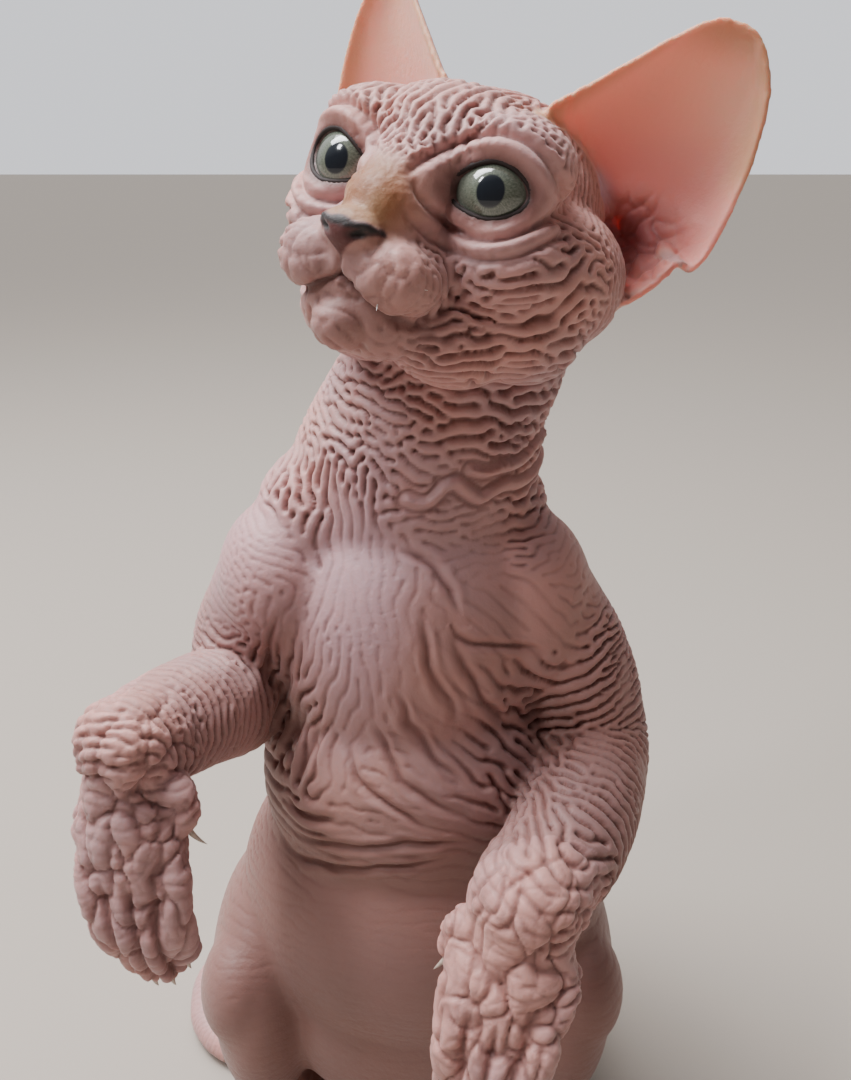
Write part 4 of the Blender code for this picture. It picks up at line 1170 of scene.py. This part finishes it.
def skin_material():
    n = Nodes("sphynx_skin")
    broad = n.noise(28.0, 2.0)
    blotch = n.noise(95.0, 3.0)
    colour = n.mix(n.span(broad, 0.40, 0.62), PINK, MAUVE)
    colour = n.mix(n.span(blotch, 0.52, 0.72, 0.0, 0.35), colour, (0.62, 0.30, 0.27))
    # Partly the skin's darker tone, partly painted shade: the lower front, chin, chest, flank and armpits.
    colour = n.mix(n.math("MULTIPLY", n.attribute("belly"), 0.85), colour, (0.235, 0.118, 0.098))
    # Violet tone and painted cool highlight on the lit shoulder and chest top.
    colour = n.mix(n.math("MULTIPLY", n.attribute("lilac_and_painted_highlight"), 0.55), colour, (0.50, 0.31, 0.35))
    # Painted shade: the fold valleys and the creases between the pad's lumps are darkened towards the valley colour.
    creases = n.math("MAXIMUM", n.attribute("hollow"), n.attribute("face_crease_painted_shade"))
    colour = n.mix(n.math("MULTIPLY", creases, 0.85), colour, PAINTED_VALLEY_SHADE)
    colour = n.mix(n.attribute("tan"), colour, n.mix(n.span(blotch, 0.42, 0.60), TAN, (0.27, 0.105, 0.045)))
    inside = n.attribute("ear_inside")
    # Painted light: the inside of the ear is painted bright salmon as if lit through from behind, over its own pinks
    # and reds.
    ear_colour_and_painted_glow = n.mix(n.span(broad, 0.35, 0.60, 0.0, 0.5), EAR_PINK_AND_PAINTED_GLOW, (0.78, 0.34, 0.27))
    ear_colour_and_painted_glow = n.mix(n.math("MULTIPLY", n.attribute("ear_red"), 0.85), ear_colour_and_painted_glow, (0.72, 0.27, 0.25))
    ear_colour_and_painted_glow = n.mix(n.attribute("ear_cool"), ear_colour_and_painted_glow, (0.60, 0.42, 0.50))
    ear_colour_and_painted_glow = n.mix(n.attribute("ear_rim"), ear_colour_and_painted_glow, EAR_RIM)
    # Deep red round the canal, partly painted shade.
    ear_colour_and_painted_glow = n.mix(n.attribute("ear_deep_red_and_painted_shade"), ear_colour_and_painted_glow, (0.34, 0.095, 0.095))
    colour = n.mix(inside, colour, ear_colour_and_painted_glow)
    # Partly the lids' redder skin, partly painted shade along their edge.
    colour = n.mix(n.attribute("lids"), colour, LID_RED_AND_PAINTED_SHADE)
    # Dark lid margin and inner corner, partly painted shade.
    colour = n.mix(n.attribute("lid_rim"), colour, (0.030, 0.012, 0.011))
    # Painted shade along the mouth's groove.
    colour = n.mix(n.attribute("mouth"), colour, (0.10, 0.030, 0.026))
    colour = n.mix(n.attribute("nose"), colour, NOSE_RED)
    # The nose's dark top, and painted shade in the nostrils.
    colour = n.mix(n.attribute("nose_dark_and_nostril_shade"), colour, NOSE_DARK_AND_NOSTRIL_SHADE)
    n.link(colour, n.surface.inputs["Base Color"])
    grain = n.noise(2600.0, 4.0, 0.65)
    pores = n.noise(900.0, 3.0, 0.6)
    normal = n.bump(pores, 0.35, 0.0004)
    normal = n.bump(grain, 0.30, 0.00015, normal)
    n.link(normal, n.surface.inputs["Normal"])
    n.link(n.span(pores, 0.3, 0.7, 0.46, 0.62), n.surface.inputs["Roughness"])
    n.link(n.span(inside, 0.0, 1.0, 0.22, 0.80), n.surface.inputs["Subsurface Weight"])
    n.set(Subsurface_Scale=0.0022, Sheen_Weight=0.12, Sheen_Roughness=0.5,
          Specular_IOR_Level=0.38)
    n.surface.inputs["Subsurface Radius"].default_value = (1.0, 0.35, 0.22)
    return n.material


def eye_material():
    n = Nodes("eye")
    radius = n.attribute("iris_radius")
    angle = n.attribute("iris_angle")
    ring = n.add("ShaderNodeCombineXYZ")
    n.link(n.math("MULTIPLY", angle, 3.0), ring.inputs["X"])
    n.link(n.math("MULTIPLY", radius, 0.35), ring.inputs["Y"])
    fibres = n.noise(5.0, 4.0, 0.7, ring.outputs["Vector"])
    iris = n.mix(n.span(fibres, 0.35, 0.65), (0.068, 0.080, 0.060), (0.185, 0.205, 0.158))
    iris = n.mix(n.span(radius, 3.2, 6.2, 0.0, 0.7), iris, (0.150, 0.168, 0.140))
    iris = n.mix(n.span(radius, 6.2, 7.3), iris, (0.018, 0.020, 0.020))
    colour = n.mix(n.span(n.attribute("pupil"), 1.06, 0.94), iris, (0.010, 0.014, 0.020))
    n.link(colour, n.surface.inputs["Base Color"])
    n.set(Roughness=0.12, Coat_Weight=1.0, Coat_Roughness=0.02, Specular_IOR_Level=0.5)
    return n.material


def plain_material(name, colour, roughness, coat=0.0, subsurface=0.0):
    n = Nodes(name)
    shade = n.mix(n.span(n.noise(700.0, 3.0), 0.35, 0.65), colour, tuple(0.72 * part for part in colour))
    n.link(shade, n.surface.inputs["Base Color"])
    n.link(n.bump(n.noise(1800.0), 0.2, 0.0002), n.surface.inputs["Normal"])
    n.set(Roughness=roughness, Coat_Weight=coat, Coat_Roughness=0.08, Subsurface_Weight=subsurface,
          Subsurface_Scale=0.001)
    return n.material


# Pieces beside the skin

PUPIL_HALF_WIDTH = 2.25
PUPIL_HALF_HEIGHT = 2.55
GAZE = {1: (math.radians(2), math.radians(0)), -1: (math.radians(17), math.radians(2))}
CORNEA_RISE = 0.0007


def build_eye(side, name):
    """A glossy eyeball with a low cornea; its attributes place the iris and the pupil."""
    verts, faces = round_form(7)
    turn = np.array(head_matrix() @ gaze_matrix(side))
    look = GAZE[side]
    iris = verts @ np.array(Matrix.Rotation(look[0], 3, "Z") @ Matrix.Rotation(look[1], 3, "X"))
    radius = np.hypot(iris[:, 0], iris[:, 2])
    front = iris[:, 1] < 0
    rise = CORNEA_RISE * ease(0.75, 0.25, radius) * front
    spots = verts * (EYE_RADIUS + rise)[:, None]
    made = add_object(name, triangle_mesh(name, spots @ turn[:3, :3].T + turn[:3, 3], faces))
    made.data.shade_smooth()
    size = EYE_RADIUS * MM
    masks = {"iris_radius": np.where(front, radius * size, 9.0),
             "iris_angle": np.arctan2(iris[:, 2], iris[:, 0]),
             "pupil": np.where(front, np.hypot(iris[:, 0] * size / PUPIL_HALF_WIDTH,
                                               iris[:, 2] * size / PUPIL_HALF_HEIGHT), 3.0)}
    for label, values in masks.items():
        layer = made.data.attributes.new(label, "FLOAT", "POINT")
        layer.data.foreach_set("value", values.astype(np.float32))
    return made


def tube(path, radii, sides=10, closed=False):
    """The vertices and quads of a round tube along points in metres; open ends are left open."""
    path = np.asarray(path, dtype=float)
    radii = np.broadcast_to(radii, len(path))
    ahead = np.roll(path, -1, 0) - np.roll(path, 1, 0) if closed else np.gradient(path, axis=0)
    ahead /= np.linalg.norm(ahead, axis=1)[:, None]
    side = np.cross(ahead[0], (0.3, 0.2, 0.93))
    rings = []
    for spot, way, radius in zip(path, ahead, radii):
        side = side - way * (side @ way)
        side /= np.linalg.norm(side)
        other = np.cross(way, side)
        angles = np.arange(sides) * 2 * math.pi / sides
        rings.append(spot + radius * (np.cos(angles)[:, None] * side + np.sin(angles)[:, None] * other))
    count = len(path)
    faces = []
    for row in range(count if closed else count - 1):
        above = (row + 1) % count
        for k in range(sides):
            after = (k + 1) % sides
            faces.append((row * sides + k, row * sides + after, above * sides + after, above * sides + k))
    return np.vstack(rings), np.array(faces)


def tubes_object(name, tubes):
    clay = Clay()
    for verts, faces in tubes:
        clay.add(verts, faces)
    made = clay.to_object(name)
    made.data.shade_smooth()
    return made


def claw(root, way, down, length, radius):
    """A short hooked claw from inside a toe."""
    path = []
    radii = []
    for t in np.linspace(0.0, 1.0, 9):
        path.append(np.array(root) + np.array(way) * length * t + np.array(down) * length * 0.45 * t * t)
        radii.append(radius * (1 - t) ** 0.8 + 0.00002)
    return tube(path, radii, 8)


def forepaw_claws(side):
    wrist, length, turn, width, toe = paw_frame(side)
    across, along, normal = turn.col[0], turn.col[1], turn.col[2]
    reach, lift, size = PAW_TOE[-1]
    claws = []
    for index in range(4):
        share = (index - 1.5) / 1.5
        root = wrist + along * (length * (reach - 0.08 * share * share) + 0.6 * size * toe) + normal * lift
        root += across * share * width * toe_spread(reach)
        claws.append(claw(root, along, -normal, 0.0038, 0.0008))
    root = wrist + along * (length * 0.23 + 0.0045) + across * side * (width * 0.43 + 0.001)
    claws.append(claw(root, (along + across * side * 0.55).normalized(), -normal, 0.0058, 0.0008))
    return claws


def hind_claws(side):
    claws = []
    for index in range(4):
        across = (index - 1.5) * 0.0053
        reach = HIND_TOE_Y + 0.0012 * abs(index - 1.5) + 0.002
        claws.append(claw((FOOT_X[side] + across, reach, 0.0056), (0, -1, -0.1), (0, 0, -1), 0.0042, 0.0008))
    return claws


def whisker_stubs():
    """Broken whiskers on the pads: start beside the middle, forward and up in the head's frame, and way out."""
    turn = head_matrix()
    stubs = []
    for x, y, z, way in ((0.0095, -0.0405, -0.0170, (0.6, -0.7, -0.2)), (0.0080, -0.0415, -0.0190, (0.5, -0.8, -0.4)),
                         (0.0125, -0.0380, -0.0155, (0.9, -0.4, 0.1)), (-0.0115, -0.0400, -0.0145, (-1.0, -0.3, 0.1)),
                         (-0.0100, -0.0405, -0.0175, (-0.7, -0.6, -0.2)), (-0.0125, -0.0385, -0.0160, (-0.9, -0.4, -0.2))):
        root = Vector((MUZZLE_X + x, y, z))
        path = [turn @ (root + Vector(way) * 0.0036 * t) for t in np.linspace(0, 1, 5)]
        stubs.append(tube(path, [0.00012, 0.00012, 0.00011, 0.0001, 0.00004], 6))
    return stubs


def lid_rim(side, name):
    """The dark moist rim of the lids, lying on the eyeball along the opening; its near-black colour is partly the lid
    margin's own and partly painted shade where the lid meets the eye.
    """
    turn = head_matrix() @ gaze_matrix(side)
    path = []
    for angle in np.arange(96) * 2 * math.pi / 96:
        along, rise = math.cos(angle), math.sin(angle)
        size = 1 / MM
        for _ in range(8):
            size *= float(lid_oval(np.array([along * size * MM]), np.array([rise * size * MM]))[0]) ** -1.0
        along *= 0.99 * size
        rise *= 0.99 * size
        cos, sin = math.cos(LID_TILT), math.sin(LID_TILT)
        out = along * cos - rise * sin
        up = along * sin + rise * cos
        reach = EYE_RADIUS + 0.0006
        depth = math.sqrt(max(reach ** 2 - out ** 2 - up ** 2, 1e-6))
        path.append(turn @ Vector((out * side, -depth, up)))
    return tubes_object(name, [tube(path, 0.00050, closed=True)])


def set_camera():
    """The photograph's view: close, looking down a little."""
    data = bpy.data.cameras.new("camera")
    data.lens = 31.67
    data.sensor_width = 36.0
    data.clip_start = 0.001
    camera = bpy.data.objects.new("camera", data)
    camera.location = (0.0, -0.211, 0.253)
    camera.rotation_euler = (math.radians(68), 0.0, 0.0)
    bpy.context.scene.collection.objects.link(camera)
    bpy.context.scene.camera = camera


def add_light(name, place, target, size, power, colour):
    data = bpy.data.lights.new(name, "AREA")
    data.shape = "RECTANGLE"
    data.size, data.size_y = size
    data.energy = power
    data.color = colour
    lamp = bpy.data.objects.new(name, data)
    lamp.location = place
    lamp.rotation_euler = (Vector(target) - Vector(place)).to_track_quat("-Z", "Y").to_euler()
    bpy.context.scene.collection.objects.link(lamp)


SKY_LOW = (0.115, 0.095, 0.090)
SKY_HIGH = (0.95, 0.97, 1.00)
SKY_TOP = (-0.15, 0.42, 0.89)


def set_stage():
    """A plain pale floor and soft light from above, behind and the cat's right."""
    size = 15.0
    verts = [(-size, -size, 0), (size, -size, 0), (size, size, 0), (-size, size, 0)]
    mesh = bpy.data.meshes.new("floor")
    mesh.from_pydata(verts, [], [(0, 1, 2, 3)])
    floor = add_object("floor", mesh)
    n = Nodes("floor")
    n.set(Roughness=0.9)
    n.surface.inputs["Base Color"].default_value = (0.40, 0.35, 0.305, 1.0)
    mesh.materials.append(n.material)
    world = bpy.data.worlds.new("soft_light")
    world.use_nodes = True
    tree = world.node_tree
    lit = tree.nodes["Background"]
    height = tree.nodes.new("ShaderNodeVectorMath")
    height.operation = "DOT_PRODUCT"
    height.inputs[1].default_value = SKY_TOP
    tree.links.new(tree.nodes.new("ShaderNodeTexCoord").outputs["Generated"], height.inputs[0])
    ramp = tree.nodes.new("ShaderNodeValToRGB")
    for place, colour in ((0.0, SKY_LOW), (1.0, SKY_HIGH)):
        ramp.color_ramp.elements[int(place)].color = (*colour, 1.0)
    ramp.color_ramp.elements[0].position = 0.30
    tree.links.new(height.outputs["Value"], ramp.inputs["Fac"])
    tree.links.new(ramp.outputs["Color"], lit.inputs["Color"])
    lit.inputs["Strength"].default_value = 0.84
    shown = tree.nodes.new("ShaderNodeBackground")
    shown.inputs["Color"].default_value = (0.80, 0.81, 0.86, 1.0)
    shown.inputs["Strength"].default_value = 1.25
    path = tree.nodes.new("ShaderNodeLightPath")
    either = tree.nodes.new("ShaderNodeMixShader")
    tree.links.new(path.outputs["Is Camera Ray"], either.inputs["Fac"])
    tree.links.new(lit.outputs["Background"], either.inputs[1])
    tree.links.new(shown.outputs["Background"], either.inputs[2])
    tree.links.new(either.outputs["Shader"], tree.nodes["World Output"].inputs["Surface"])
    bpy.context.scene.world = world
    add_light("window", (-0.42, 0.10, 1.05), (0, 0, 0.18), (0.45, 0.70), 18.0, (0.97, 0.98, 1.0))
    add_light("pane", (-0.55, -0.35, 0.85), (0, 0, 0.24), (0.12, 0.20), 3.0, (0.97, 0.98, 1.0))
    sky = bpy.data.lights.new("daylight", "SUN")
    sky.energy = 2.3
    sky.angle = math.radians(45)
    lamp = bpy.data.objects.new("daylight", sky)
    lamp.rotation_euler = (math.radians(-18), math.radians(-14), 0.0)
    bpy.context.scene.collection.objects.link(lamp)


def main():
    set_camera()
    set_stage()
    mass = build_mass()
    skin = Surface(mass.data)
    bpy.data.objects.remove(mass, do_unlink=True)
    masks = fold_skin(skin)
    body = skin_object("skin", skin, masks)
    body.data.materials.append(skin_material())
    eyes = [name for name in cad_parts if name.startswith("eye_")]
    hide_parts(*[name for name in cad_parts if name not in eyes])
    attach(body, "root")
    # Near-black lid margin, partly painted shade at the edge of the lids.
    dark_margin_and_painted_shade = plain_material("lid_rim", (0.022, 0.010, 0.009), 0.75)
    horn = plain_material("claw", (0.62, 0.50, 0.42), 0.35)
    pale_hair = plain_material("whisker", (0.85, 0.80, 0.76), 0.45)
    iris = eye_material()
    for side, label in ((1, "left"), (-1, "right")):
        eye = build_eye(side, "eyeball_" + label)
        eye.data.materials.append(iris)
        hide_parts("eye_" + label)
        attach(eye, "root")
        rim = lid_rim(side, "lid_rim_" + label)
        rim.data.materials.append(dark_margin_and_painted_shade)
        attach(rim, "root")
        for kind, claws in (("forepaw", forepaw_claws(side)), ("hind_foot", hind_claws(side))):
            made = tubes_object("claws_" + kind + "_" + label, claws)
            made.data.materials.append(horn)
            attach(made, "root")
    whiskers = tubes_object("whisker_stubs", whisker_stubs())
    whiskers.data.materials.append(pale_hair)
    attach(whiskers, "root")


main()
